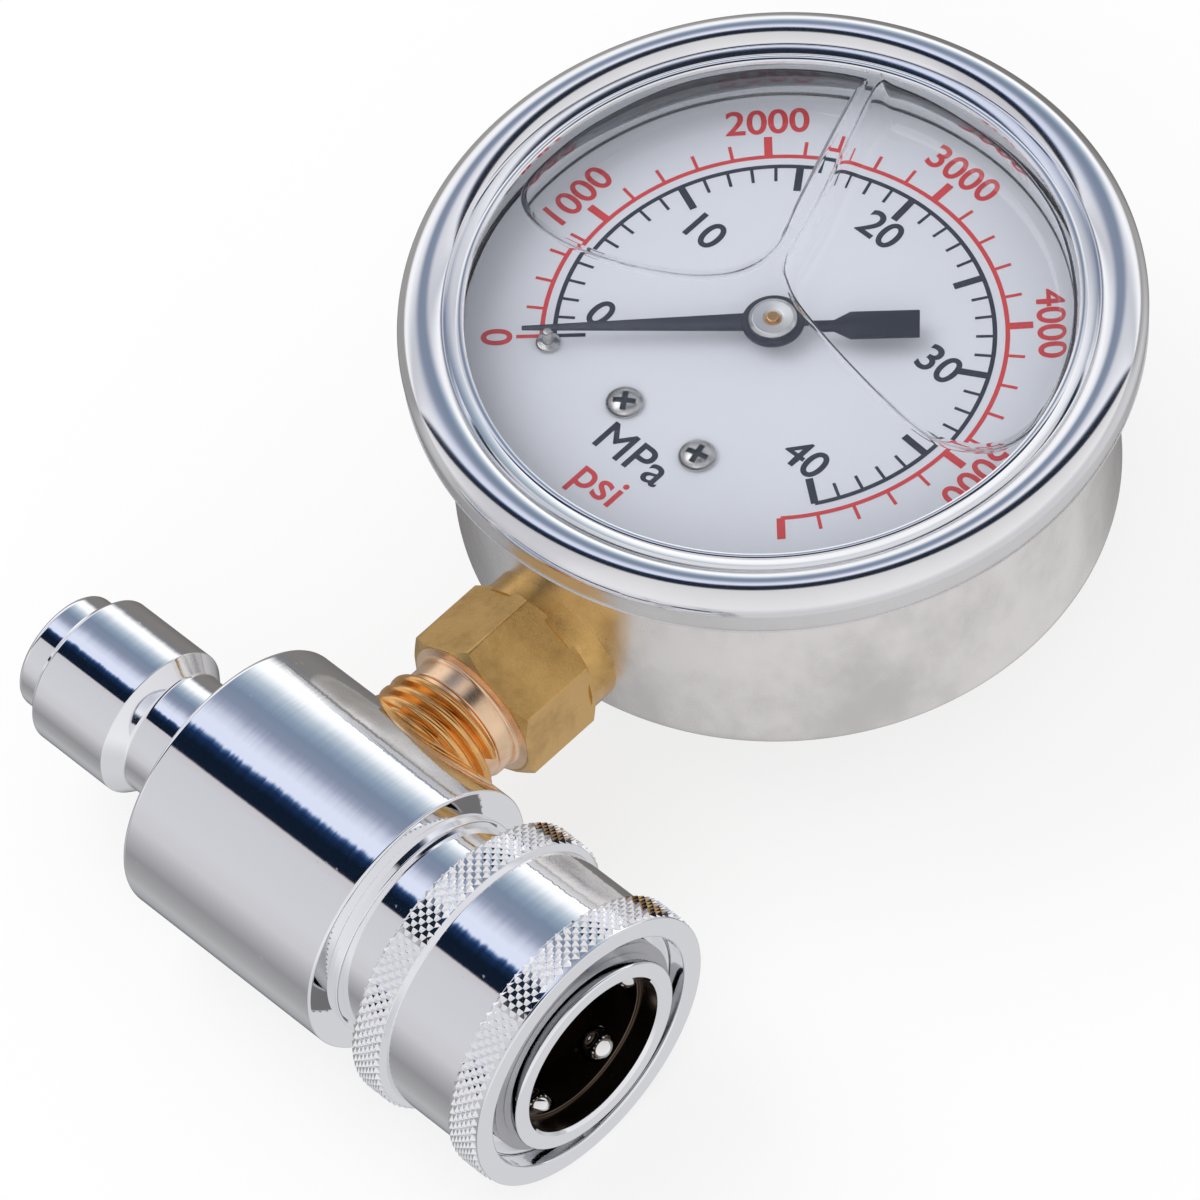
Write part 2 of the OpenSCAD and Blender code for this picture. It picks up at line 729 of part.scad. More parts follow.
// Places a child at a ball, with +Z pointing away from the flow axis
module at_ball(i) {
    along_flow(ball_x) rotate([0, 0, 360 * (i - 0.5) / ball_count]) rotate([0, 90, 0])
        translate([0, 0, ball_c]) children();
}

// Rubber ring that seals a plug in the bore
module coupler_seal() {
    color("#151515") along_flow(seal_x) rotate_extrude() translate([bore_r + seal_set, 0]) circle(r = seal_w / 2);
}

// Split ring that keeps the sleeve on the tube
module retaining_ring() {
    inner = tube_out_r - 0.4;
    color("#a8abb0") along_flow(ring_back) difference() {
        cylinder(r = inner + ring_w, h = ring_t);
        translate([0, 0, -1]) cylinder(r = inner, h = ring_t + 2);
        translate([0, -0.8, -1]) cube([inner + ring_w + 1, 1.6, ring_t + 2]);
    }
}

// Sliding sleeve with two knurled bands and the ramp that holds the balls
module sleeve() {
    ramp_back = ball_x - (ramp_r - land_r) / tan(ramp);
    ramp_front_r = ramp_r + (land_front - ball_x) * tan(ramp);
    section = [
        [skirt_r, sleeve_back],
        [band_r - 0.3, sleeve_back],
        [band_r, sleeve_back + 0.3],
        [band_r, sleeve_back + band_l - 0.3],
        [band_r - 0.3, sleeve_back + band_l],
        [waist_r, sleeve_back + band_l + 0.3],
        [waist_r, sleeve_front - band_l - sleeve_chamfer - 0.3],
        [band_r - 0.3, sleeve_front - band_l - sleeve_chamfer],
        [band_r, sleeve_front - band_l - sleeve_chamfer + 0.3],
        [band_r, sleeve_front - sleeve_chamfer],
        [band_r - sleeve_chamfer, sleeve_front],
        [recess_r + 0.3, sleeve_front],
        [recess_r, sleeve_front - 0.3],
        [recess_r, land_front],
        [ramp_front_r, land_front],
        [land_r, ramp_back],
        [land_r, land_back],
        [skirt_r, land_back]
    ];
    color("#cdd0d5") along_flow() rotate_extrude() polygon(section);
}

// Spring between the tube's collar and the sleeve's land
module sleeve_spring() {
    mean = (tube_out_r + skirt_r) / 2;
    room = land_back - collar_x - 2 * spring_wire_r - 0.1;
    color("#8f9297") along_flow(collar_x)
        coil(mean, spring_wire_r, spring_wire_r + 0.05, room, spring_turns);
}

// Locking ball number i
module ball(i) {
    color("#e2e3e6") at_ball(i) sphere(r = ball_r);
}

case();
bezel_ring();
window();
window_gasket();
fill_plug();
dial();
dial_screws();
stop_pin();
pointer();
pointer_hub();
pointer_arbor();
movement_back();
movement_front();
movement_pillars();
pressure_tube();
stem_block();
stem();
manifold_body();
plug();
coupler_tube();
coupler_seal();
retaining_ring();
sleeve();
sleeve_spring();
ball(1);  // ball_1
ball(2);  // ball_2
ball(3);  // ball_3
ball(4);  // ball_4
ball(5);  // ball_5
ball(6);  // ball_6
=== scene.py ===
"""Dresses the pressure washer gauge: turned chrome, steel and brass, printed dial, window and liquid."""

import json
import logging
import math
from dataclasses import dataclass
from enum import Enum
from functools import cached_property
from typing import Callable, Optional, Sequence, Union

import bmesh
import bpy
from mathutils import Matrix, Vector

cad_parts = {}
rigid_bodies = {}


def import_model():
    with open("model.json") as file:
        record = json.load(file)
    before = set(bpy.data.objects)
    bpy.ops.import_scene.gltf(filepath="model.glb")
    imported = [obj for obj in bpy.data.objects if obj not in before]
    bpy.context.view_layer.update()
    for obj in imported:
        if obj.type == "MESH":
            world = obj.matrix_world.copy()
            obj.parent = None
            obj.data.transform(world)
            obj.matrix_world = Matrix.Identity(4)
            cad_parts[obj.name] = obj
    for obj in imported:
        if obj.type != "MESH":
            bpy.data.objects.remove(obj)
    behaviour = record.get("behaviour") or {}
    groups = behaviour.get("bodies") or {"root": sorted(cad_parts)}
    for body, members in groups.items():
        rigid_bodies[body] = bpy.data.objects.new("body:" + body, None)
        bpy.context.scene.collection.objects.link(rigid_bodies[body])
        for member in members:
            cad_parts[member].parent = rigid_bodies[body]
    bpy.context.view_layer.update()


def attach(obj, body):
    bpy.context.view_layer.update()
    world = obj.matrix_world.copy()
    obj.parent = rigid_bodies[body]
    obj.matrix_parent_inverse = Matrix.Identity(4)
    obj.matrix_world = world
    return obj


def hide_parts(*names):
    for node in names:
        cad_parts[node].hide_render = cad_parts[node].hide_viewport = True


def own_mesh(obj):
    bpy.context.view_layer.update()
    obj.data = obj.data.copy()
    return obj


LOG = logging.getLogger("gauge")
MM = 0.001
# Where the flow axis and the stem axis cross, and the pointer's place on the stem axis, in millimetres.
CROSS = Vector((-0.25, -39.85, 14.2))
PIVOT = 60.2
SHARP_ANGLE = 32.0
SHARED = ("Math", "VectorMath", "MapRange", "CombineXYZ", "SeparateXYZ")
Corner = tuple[float, float, float]
Point = tuple[float, float]
Colour = tuple[float, float, float]
Stop = tuple[float, float, float, float]
Value = Union[float, int, "Wire"]


class Axis(Enum):
    """The three axes that pieces are turned round: rows of a matrix and a shift in millimetres."""

    FLOW = ((0, 0, 1), (1, 0, 0), (0, 1, 0), (0, 0, 0))
    STEM = ((0, 1, 0), (0, 0, 1), (1, 0, 0), (0, 0, 0))
    DIAL = ((1, 0, 0), (0, 1, 0), (0, 0, 1), (0, PIVOT, 0))

    def matrix(self) -> Matrix:
        """Returns the matrix from turning coordinates to the frame, in millimetres."""
        *rows, shift = self.value
        return Matrix.Translation(CROSS + Vector(shift)) @ Matrix(rows).to_4x4()


# ---------------------------------------------------------------- shader and node maths


class Wire:
    """A node socket that takes part in arithmetic and adds Math nodes for it."""

    def __init__(self, graph: "Graph", socket: bpy.types.NodeSocket) -> None:
        """Wraps a socket of a graph."""
        self.graph, self.socket = graph, socket

    def output(self, name: str) -> "Wire":
        """Returns another output of the node that this socket belongs to."""
        return Wire(self.graph, self.socket.node.outputs[name])

    def math(self, operation: str, *others: Value) -> "Wire":
        """Applies a Math operation to this value and others."""
        return self.graph.node("Math", {"operation": operation}, self, *others)

    def __add__(self, other: Value) -> "Wire":
        """Returns self + other."""
        return self.math("ADD", other)

    def __sub__(self, other: Value) -> "Wire":
        """Returns self - other."""
        return self.math("SUBTRACT", other)

    def __mul__(self, other: Value) -> "Wire":
        """Returns self * other."""
        return self.math("MULTIPLY", other)

    def __truediv__(self, other: Value) -> "Wire":
        """Returns self / other."""
        return self.math("DIVIDE", other)

    def __rsub__(self, other: Value) -> "Wire":
        """Returns other - self."""
        return self.graph.node("Math", {"operation": "SUBTRACT"}, other, self)

    def __rtruediv__(self, other: Value) -> "Wire":
        """Returns other / self."""
        return self.graph.node("Math", {"operation": "DIVIDE"}, other, self)

    __radd__ = __add__
    __rmul__ = __mul__

    def between(self, low: float, high: float) -> "Wire":
        """Returns 0 below low and 1 above high, smooth between them."""
        return self.graph.node("MapRange", {"interpolation_type": "SMOOTHSTEP"}, self, low, high, 0.0, 1.0)


class Graph:
    """Adds nodes to a node tree, for shaders and for geometry alike."""

    def __init__(self, tree: bpy.types.NodeTree, prefix: str = "ShaderNode") -> None:
        """Starts on a tree whose nodes' types begin with the prefix."""
        self.tree, self.prefix = tree, prefix

    def node(self, kind: str, settings: Optional[dict[str, object]] = None, *values: object,
             out: Union[int, str] = 0, **named: object) -> Wire:
        """Adds one node.

        Args:
            kind: The node's type, without its prefix where that is the graph's own.
            settings: Properties that are set first, such as an operation or a ramp's stops.
            values: Values or wires for the inputs in order.
            out: The output that is returned, by number or name.
            named: Values or wires for inputs by name, with _ for a space.

        Returns:
            The wire of one output, or of the first input where there is no output.
        """
        full = kind if "Node" in kind else ("ShaderNode" if kind in SHARED else self.prefix) + kind
        made = self.tree.nodes.new(full)
        for key, setting in (settings or {}).items():
            if key == "stops":
                set_stops(made.color_ramp, setting)
            else:
                setattr(made, key, setting)
        for socket, value in zip(made.inputs, values):
            self.feed(socket, value)
        for name, value in named.items():
            self.feed(made.inputs[name.replace("_", " ")], value)
        return Wire(self, made.outputs[out] if made.outputs else made.inputs[0])

    def feed(self, socket: bpy.types.NodeSocket, value: object) -> None:
        """Links a wire to a socket or sets the socket's value.

        Args:
            socket: The input.
            value: A wire, a number, a vector, a material or a colour of three numbers.
        """
        if isinstance(value, Wire):
            self.tree.links.new(value.socket, socket)
        elif socket.type == "RGBA" and len(value) == 3:
            socket.default_value = (*value, 1.0)
        else:
            socket.default_value = value

    def mix(self, factor: Value, first: object, second: object) -> Wire:
        """Mixes two colours.

        Args:
            factor: How much of the second.
            first: A colour or its wire.
            second: A colour or its wire.

        Returns:
            The mixed colour.
        """
        made = self.tree.nodes.new("ShaderNodeMix")
        made.data_type = "RGBA"
        for index, value in ((0, factor), (6, first), (7, second)):
            self.feed(made.inputs[index], value)
        return Wire(self, made.outputs[2])

    def vector(self, operation: str, *values: object, **named: object) -> Wire:
        """Adds a Vector Math node."""
        return self.node("VectorMath", {"operation": operation}, *values, **named)

    def xyz(self, x: Value, y: Value, z: Value) -> Wire:
        """Returns a vector of three values."""
        return self.node("CombineXYZ", None, x, y, z)


def set_stops(ramp: bpy.types.ColorRamp, stops: Sequence[Stop]) -> None:
    """Gives a colour ramp its stops.

    Args:
        ramp: The ramp.
        stops: An angle in degrees and a colour for each, where 360 degrees are the whole ramp.
    """
    while len(ramp.elements) > 1:
        ramp.elements.remove(ramp.elements[-1])
    for index, (angle, *colour) in enumerate(stops):
        element = ramp.elements.new(angle / 360) if index else ramp.elements[0]
        element.position = angle / 360
        element.color = (*colour, 1)


class Surface(Graph):
    """A material whose tree is empty at first."""

    def __init__(self, name: str) -> None:
        """Makes the material.

        Args:
            name: The material's name.
        """
        self.material = bpy.data.materials.new(name)
        self.material.use_nodes = True
        self.material.node_tree.nodes.clear()
        super().__init__(self.material.node_tree)

    def place(self) -> Wire:
        """Returns the Object coordinates, in metres."""
        return self.node("TexCoord", out="Object")

    def noise(self, at: Wire, scale: float, detail: float = 3.0, rough: float = 0.55) -> Wire:
        """Returns a noise from 0 to 1 at a vector."""
        return self.node("TexNoise", Vector=at, Scale=scale, Detail=detail, Roughness=rough)

    def stretched(self, factors: Corner) -> Wire:
        """Returns Object coordinates scaled by a factor for each axis."""
        return self.node("Mapping", {"vector_type": "POINT"}, Vector=self.place(), Scale=factors)

    def bump(self, height: Wire, strength: float, distance: float) -> Wire:
        """Returns a normal bumped by a height."""
        return self.node("Bump", Strength=strength, Distance=distance, Height=height)

    def end(self, shader: Wire) -> bpy.types.Material:
        """Links a shader to the output and returns the material."""
        self.node("OutputMaterial", Surface=shader)
        return self.material


# ---------------------------------------------------------------- finishes


@dataclass(frozen=True)
class Chrome:
    """Mirror chrome on pieces that are turned round the flow axis, with fine turning marks."""

    name: str = "mirror_chrome"
    colour: Colour = (0.93, 0.935, 0.95)
    roughness: float = 0.045
    tilt: float = 0.05
    mark_scale: Corner = (2600, 30, 30)
    wave_scale: Corner = (160, 45, 45)
    calm: float = 0.9
    calm_side: Point = (0.307, 0.319)
    speck_scale: float = 900
    speck_edge: Point = (0.70, 0.78)
    speck_roughness: float = 0.2

    def build(self) -> bpy.types.Material:
        """Returns the material, whose normal leans round the axis by another angle at each place along it."""
        s = Surface(self.name)
        marks = s.noise(s.stretched(self.mark_scale), 1.0, 2.0)
        waves = s.noise(s.stretched(self.wave_scale), 1.0, 2.0)
        normal = s.node("NewGeometry", out="Normal")
        parts = s.node("SeparateXYZ", None, normal)
        round_x = (parts.output("Z").math("ARCTAN2", parts.output("Y")) / math.tau).math("FRACT")
        share = 1 - round_x.between(*self.calm_side) * self.calm
        lean = ((marks - 0.5) * self.tilt + (waves - 0.5) * (self.tilt * 0.5)) * share
        side = s.vector("CROSS_PRODUCT", (1, 0, 0), normal)
        turned_normal = s.vector("NORMALIZE", s.vector("ADD", normal, s.vector("SCALE", side, Scale=lean)))
        specks = s.noise(s.place(), self.speck_scale, 2.0).between(*self.speck_edge)
        return s.end(s.node(
            "BsdfPrincipled", Base_Color=self.colour, Metallic=1.0,
            Roughness=self.roughness + specks * self.speck_roughness, Normal=turned_normal))


@dataclass(frozen=True)
class Steel:
    """Stainless steel, from polished to satin, with streaks along one direction and blotches."""

    name: str
    colour: Colour
    roughness: float
    blotch: float
    streak: Corner = (300, 300, 20)
    grain: float = 0.1
    blotch_scale: Corner = (90, 90, 60)
    blotch_edge: Point = (0.35, 0.7)
    streak_scale: float = 6.0
    streak_height: float = 0.00002

    def build(self) -> bpy.types.Material:
        """Returns the material."""
        s = Surface(self.name)
        blotches = s.noise(s.stretched(self.blotch_scale), 1.0, 4.0, 0.6)
        fine = s.noise(s.stretched(self.streak), self.streak_scale, 4.0, 0.7)
        shade = s.mix(blotches.between(*self.blotch_edge), self.colour, darker(self.colour, self.blotch))
        rough = self.roughness * (1 + (blotches - 0.5) * 0.5 + (fine - 0.5) * 0.4)
        return s.end(s.node("BsdfPrincipled", Base_Color=shade, Metallic=1.0, Roughness=rough,
                            Normal=s.bump(fine, self.grain, self.streak_height)))


@dataclass(frozen=True)
class Brass:
    """Machined brass or its warmer, glossier thread."""

    name: str
    colour: Colour
    dark: Colour
    roughness: float
    streak: Corner
    grain: float
    cloud_scale: float = 260
    cloud_edge: Point = (0.4, 0.75)
    streak_height: float = 0.00003

    def build(self) -> bpy.types.Material:
        """Returns the material."""
        s = Surface(self.name)
        cloud = s.noise(s.place(), self.cloud_scale, 4.0, 0.65)
        fine = s.noise(s.stretched(self.streak), 1.0, 5.0, 0.7)
        shade = s.mix(cloud.between(*self.cloud_edge), self.colour, self.dark)
        return s.end(s.node("BsdfPrincipled", Base_Color=shade, Metallic=1.0,
                            Roughness=self.roughness + (fine - 0.5) * self.roughness * 0.5,
                            Normal=s.bump(fine, self.grain, self.streak_height)))


@dataclass(frozen=True)
class Paint:
    """A painted, printed or rubber surface with a faint mottle."""

    name: str
    colour: Colour
    roughness: float
    mottle: float = 0.03
    scale: float = 300
    grain: float = 0.05
    grain_height: float = 0.00001
    cloud_edge: Point = (0.3, 0.7)
    unevenness: float = 0.08

    def build(self) -> bpy.types.Material:
        """Returns the material."""
        s = Surface(self.name)
        cloud = s.noise(s.place(), self.scale)
        shade = s.mix(cloud.between(*self.cloud_edge), self.colour, darker(self.colour, self.mottle))
        grains = s.noise(s.place(), self.scale * 8, 2.0)
        return s.end(s.node("BsdfPrincipled", Base_Color=shade,
                            Roughness=self.roughness + (cloud - 0.5) * self.unevenness,
                            Normal=s.bump(grains, self.grain, self.grain_height)))


@dataclass(frozen=True)
class Clear:
    """Window glass or the clear liquid behind it, which lets the light through to the dial."""

    name: str
    ior: float
    colour: Colour = (1.0, 1.0, 1.0)

    def build(self) -> bpy.types.Material:
        """Returns the material: glass for what the camera sees, transparent for shadows and soft light."""
        s = Surface(self.name)
        path = s.node("LightPath")
        soft = path.output("Is Shadow Ray").math("MAXIMUM", path.output("Is Diffuse Ray"))
        glass = s.node("BsdfGlass", Color=self.colour, Roughness=0.0, IOR=self.ior)
        return s.end(s.node("MixShader", None, soft, glass, s.node("BsdfTransparent", Color=self.colour)))


def darker(colour: Colour, share: float) -> Colour:
    """Returns a colour that is darker by a share."""
    return tuple(c * (1 - share) for c in colour)


class Finish(Enum):
    """The finishes of the gauge's pieces."""

    CHROME = Chrome()
    # Painted shade: the inside of the coupler's bore is darkened in its colour, where shade falls in the
    # recess.
    BORE = Chrome("bore_painted_shade", (0.16, 0.12, 0.09), 0.22, 0.0)
    POLISHED = Steel("polished_stainless", (0.90, 0.90, 0.91), 0.11, 0.04, (40, 40, 300), 0.03)
    BALL = Steel("steel_ball", (0.93, 0.92, 0.90), 0.06, 0.05, (300, 300, 300), 0.0)
    SCREW = Steel("nickel_screw", (0.60, 0.59, 0.57), 0.26, 0.12, (300, 300, 300), 0.06)
    # Painted shade: the cross recesses of the screw heads are darkened in their colour.
    RECESS = Steel("screw_recess_painted_shade", (0.10, 0.10, 0.10), 0.5, 0.2, (300, 300, 300), 0.06)
    HUB = Steel("hub_steel", (0.74, 0.73, 0.71), 0.3, 0.08, (300, 300, 300), 0.06)
    SATIN = Steel("drawn_stainless", (0.97, 0.94, 0.90), 0.27, 0.24, (120, 120, 30), 0.10)
    FLANK = Steel("steel_flank", (0.84, 0.83, 0.82), 0.30, 0.06, (60, 60, 400), 0.06)
    SPRING = Steel("spring_wire", (0.50, 0.50, 0.51), 0.3, 0.08)
    BRASS = Brass("machined_brass", (0.70, 0.44, 0.16), (0.50, 0.30, 0.10), 0.27, (120, 1600, 1600), 0.22)
    THREAD = Brass("brass_thread", (0.88, 0.50, 0.19), (0.66, 0.33, 0.11), 0.14, (900, 200, 900), 0.08)
    NECK = Brass("brass_neck", (0.92, 0.66, 0.44), (0.78, 0.50, 0.30), 0.24, (120, 1600, 120), 0.15)
    DIAL = Paint("dial_paint", (0.69, 0.71, 0.78), 0.45, 0.015, 120, 0.02)
    RED = Paint("print_red", (0.62, 0.035, 0.035), 0.5, 0.05)
    BLACK = Paint("print_black", (0.012, 0.015, 0.028), 0.5, 0.05)
    POINTER = Paint("pointer_paint", (0.012, 0.014, 0.024), 0.35, 0.05)
    RUBBER = Paint("moulded_rubber", (0.014, 0.014, 0.018), 0.42, 0.2, 400, 0.2)
    GLASS = Clear("clear_window", 1.49)
    LIQUID = Clear("glycerine", 1.46, (0.995, 0.998, 1.0))

    @property
    def material(self) -> bpy.types.Material:
        """The finish's material, made at its first use."""
        return bpy.data.materials.get(self.value.name) or self.value.build()


# ---------------------------------------------------------------- making pieces


def polar(radius: float, degrees: float) -> Point:
    """Returns the point at a radius and an angle."""
    return radius * math.cos(math.radians(degrees)), radius * math.sin(math.radians(degrees))


def rounded(corners: Sequence[Corner], steps: int = 5, hold: float = 0.04) -> list[Point]:
    """Rounds the corners of a closed outline.

    Args:
        corners: Points as radius, place along the axis and fillet radius.
        steps: Segments of each fillet.
        hold: Distance of the points that keep the flats beside a fillet flat.

    Returns:
        The outline's points.
    """
    out: list[Point] = []
    for i, (r, z, fillet) in enumerate(corners):
        here = Vector((r, z))
        before = Vector(corners[i - 1][:2]) - here
        after = Vector(corners[(i + 1) % len(corners)][:2]) - here
        if fillet <= 0 or r <= 0 or before.length < 1e-6 or after.length < 1e-6:
            out.append((r, z))
            continue
        u, v = before.normalized(), after.normalized()
        half = u.angle(v) / 2
        reach = min(fillet / math.tan(half), 0.45 * before.length, 0.45 * after.length)
        centre = here + (u + v).normalized() * (reach * math.tan(half) / math.sin(half))
        first = here + u * reach - centre
        turn = first.angle_signed(here + v * reach - centre)
        gap = reach + min(hold, 0.3 * reach + 0.02)
        if reach + hold < 0.48 * before.length:
            out.append(tuple(here + u * gap))
        out += [tuple(centre + Matrix.Rotation(-turn * k / steps, 2) @ first) for k in range(steps + 1)]
        if reach + hold < 0.48 * after.length:
            out.append(tuple(here + v * gap))
    return out


def smooth_loop(points: Sequence[Point], steps: int) -> list[Point]:
    """Draws a closed smooth curve through points.

    Args:
        points: The points in order.
        steps: Steps between each pair.

    Returns:
        The curve's points.
    """
    out = []
    for i in range(len(points)):
        a, b, c, d = (Vector(points[(i + k) % len(points)]) for k in (-1, 0, 1, 2))
        for t in (k / steps for k in range(steps)):
            out.append(tuple(0.5 * ((2 * b) + (c - a) * t + (2 * a - 5 * b + 4 * c - d) * t * t
                                    + (3 * b - a - 3 * c + d) * t ** 3)))
    return out


def swept_faces(steps: int, width: int) -> list[list[int]]:
    """Lists the faces of a closed outline that is swept, with both ends capped.

    Args:
        steps: Steps of the sweep.
        width: Points of the outline, which follow each other in every step.

    Returns:
        The faces' point numbers.
    """
    faces = []
    for here in range(0, steps * width, width):
        for j in range(width):
            n, ahead = (j + 1) % width, here + width
            faces.append([here + j, here + n, ahead + n, ahead + j])
    return faces + [list(range(width)), [steps * width + j for j in range(width)]]


def mesh_from(name: str, verts: Sequence[Sequence[float]], faces: Sequence[Sequence[int]],
              place: Matrix) -> bpy.types.Mesh:
    """Makes a mesh in metres, with doubles merged and faces outwards.

    Args:
        name: The mesh's name.
        verts: Points in millimetres.
        faces: The faces' point numbers.
        place: The matrix to the frame, in millimetres.

    Returns:
        The mesh.
    """
    mesh = bpy.data.meshes.new(name)
    mesh.from_pydata([place @ Vector(v) for v in verts], [], faces)
    work = bmesh.new()
    work.from_mesh(mesh)
    bmesh.ops.remove_doubles(work, verts=work.verts, dist=1e-5)
    bmesh.ops.recalc_face_normals(work, faces=work.faces)
    bmesh.ops.scale(work, vec=(MM, MM, MM), verts=work.verts)
    return written(work, mesh)


def written(work: bmesh.types.BMesh, mesh: bpy.types.Mesh) -> bpy.types.Mesh:
    """Writes an edited mesh back and frees it.

    Args:
        work: The edited mesh.
        mesh: The mesh that takes it.

    Returns:
        The mesh.
    """
    work.to_mesh(mesh)
    work.free()
    return mesh


def lathe(name: str, outline: Sequence[Point], axis: Axis, segments: int,
          place: Optional[Matrix] = None) -> bpy.types.Mesh:
    """Turns a closed outline round an axis.

    Args:
        name: The mesh's name.
        outline: Points as radius and place along the axis, in millimetres.
        axis: The axis.
        segments: Segments round it.
        place: A matrix that is applied before the axis, or None.

    Returns:
        The mesh in metres.
    """
    verts: list[Corner] = []
    rings: list[list[int]] = []
    for r, z in outline:
        start = len(verts)
        if r < 1e-6:
            verts.append((0, 0, z))
            rings.append([start] * segments)
        else:
            verts += [(r * math.cos(math.tau * k / segments), r * math.sin(math.tau * k / segments), z)
                      for k in range(segments)]
            rings.append(list(range(start, start + segments)))
    faces = []
    for a, b in zip(rings, rings[1:] + rings[:1]):
        if a[0] == a[1] and b[0] == b[1]:
            continue
        for k in range(segments):
            n = (k + 1) % segments
            face = [a[k], a[n], b[n], b[k]]
            faces.append(sorted(set(face), key=face.index))
    return mesh_from(name, verts, faces, axis.matrix() @ (place or Matrix()))


def prism(name: str, outline: Sequence[Point], low: float, high: float, axis: Axis, bevel: float = 0.0,
          turn: float = 0.0) -> bpy.types.Mesh:
    """Extrudes an outline along an axis.

    Args:
        name: The mesh's name.
        outline: Points across the axis, in millimetres.
        low: Where it starts on the axis.
        high: Where it ends.
        axis: The axis.
        bevel: The width of the bevels at its sharp edges, or 0.
        turn: How far the outline is turned round the axis, in radians.

    Returns:
        The mesh in metres.
    """
    work = bmesh.new()
    place = axis.matrix() @ Matrix.Rotation(turn, 4, "Z")
    bottom, top = ([work.verts.new(place @ Vector((x, y, z))) for x, y in outline] for z in (low, high))
    work.faces.new(list(reversed(bottom)))
    work.faces.new(top)
    for i in range(len(outline)):
        n = (i + 1) % len(outline)
        work.faces.new((bottom[i], bottom[n], top[n], top[i]))
    bmesh.ops.recalc_face_normals(work, faces=work.faces)
    if bevel:
        sharp = [e for e in work.edges if e.calc_face_angle(0) > 0.4]
        bmesh.ops.bevel(work, geom=sharp, offset=bevel, segments=3, profile=0.5, affect="EDGES",
                        clamp_overlap=True)
    bmesh.ops.scale(work, vec=(MM, MM, MM), verts=work.verts)
    return written(work, bpy.data.meshes.new(name))


def linked(name: str, data: bpy.types.ID) -> bpy.types.Object:
    """Makes an object and links it to the scene.

    Args:
        name: The object's name.
        data: Its mesh, curve, lamp or camera.

    Returns:
        The object.
    """
    made = bpy.data.objects.new(name, data)
    bpy.context.scene.collection.objects.link(made)
    return made


def applied(piece: bpy.types.Object) -> bpy.types.Mesh:
    """Applies a piece's modifiers and removes them.

    Args:
        piece: The piece.

    Returns:
        The new mesh.
    """
    graph = bpy.context.evaluated_depsgraph_get()
    mesh = bpy.data.meshes.new_from_object(piece.evaluated_get(graph), depsgraph=graph)
    piece.modifiers.clear()
    return mesh


class Cut(Enum):
    """How two closed meshes are combined."""

    AWAY = "DIFFERENCE"
    COMMON = "INTERSECT"


def combined(mesh: bpy.types.Mesh, other: bpy.types.Mesh, cut: Cut) -> bpy.types.Mesh:
    """Combines two closed meshes exactly.

    Args:
        mesh: The mesh that is cut.
        other: The mesh that cuts it.
        cut: What is kept.

    Returns:
        The new mesh.
    """
    host, tool = linked("work", mesh), linked("work", other)
    change = host.modifiers.new("cut", "BOOLEAN")
    change.operation, change.object, change.solver = cut.value, tool, "EXACT"
    result = applied(host)
    for piece in (host, tool):
        bpy.data.objects.remove(piece)
    return result


def joined(name: str, meshes: Sequence[bpy.types.Mesh]) -> bpy.types.Mesh:
    """Puts several meshes into one.

    Args:
        name: The new mesh's name.
        meshes: The meshes.

    Returns:
        The new mesh.
    """
    work = bmesh.new()
    for mesh in meshes:
        work.from_mesh(mesh)
    return written(work, bpy.data.meshes.new(name))


def thickened(mesh: bpy.types.Mesh, weight: float) -> bpy.types.Mesh:
    """Grows a flat mesh at its rim, so that the strokes of its letters become bolder.

    Args:
        mesh: The flat mesh.
        weight: How far the rim moves, in the mesh's unit.

    Returns:
        The same mesh.
    """
    work = bmesh.new()
    work.from_mesh(mesh)
    bmesh.ops.remove_doubles(work, verts=work.verts, dist=1e-4)
    moves: dict[bmesh.types.BMVert, Vector] = {}
    for vert in work.verts:
        total = Vector()
        for edge in (e for e in vert.link_edges if e.is_boundary):
            out = (edge.verts[1].co - edge.verts[0].co).normalized().cross(edge.link_faces[0].normal)
            inside = edge.link_faces[0].calc_center_median() - edge.verts[0].co
            total += -out if out.dot(inside) > 0 else out
        if total.length > 0.3:
            moves[vert] = total.normalized() * weight / max(0.6, total.length / 2)
    for vert, move in moves.items():
        vert.co += move
    return written(work, mesh)


def upwards(mesh: bpy.types.Mesh) -> bpy.types.Mesh:
    """Turns a flat sheet's faces up.

    Args:
        mesh: The sheet.

    Returns:
        The same mesh.
    """
    work = bmesh.new()
    work.from_mesh(mesh)
    for face in work.faces:
        if face.normal.z < 0:
            face.normal_flip()
    return written(work, mesh)


def dressed(name: str, mesh: bpy.types.Mesh, finish: Finish, angle: float = SHARP_ANGLE) -> bpy.types.Object:
    """Makes an object of a mesh and dresses it.

    Args:
        name: The piece's name.
        mesh: The mesh in metres, already in its place.
        finish: What it is dressed in.
        angle: Edges sharper than this many degrees stay sharp.

    Returns:
        The linked object.
    """
    mesh.shade_smooth()
    mesh.set_sharp_from_angle(angle=math.radians(angle))
    mesh.materials.clear()
    mesh.materials.append(finish.material)
    return linked(name, mesh)


def turned(name: str, outline: Sequence[Point], axis: Axis, segments: int, finish: Finish,
           place: Optional[Matrix] = None, angle: float = SHARP_ANGLE) -> bpy.types.Object:
    """Turns a closed outline round an axis and dresses the piece.

    Args:
        name: The piece's name.
        outline: Points as radius and place along the axis, in millimetres.
        axis: The axis.
        segments: Segments round it.
        finish: What it is dressed in.
        place: A matrix that is applied before the axis, or None.
        angle: Edges sharper than this many degrees stay sharp.

    Returns:
        The linked object.
    """
    return dressed(name, lathe(name, outline, axis, segments, place), finish, angle)


def tint(piece: bpy.types.Object, finish: Finish, axis: Axis, test: Callable[[Vector], bool]) -> None:
    """Gives some of a piece's faces a second finish.

    Args:
        piece: The piece.
        finish: The second finish.
        axis: The axis in whose own millimetres the faces' centres are tested.
        test: Whether a centre belongs to a face of the second finish.
    """
    back = axis.matrix().inverted()
    piece.data.materials.append(finish.material)
    for face in piece.data.polygons:
        if test(back @ (face.center / MM)):
            face.material_index = 1


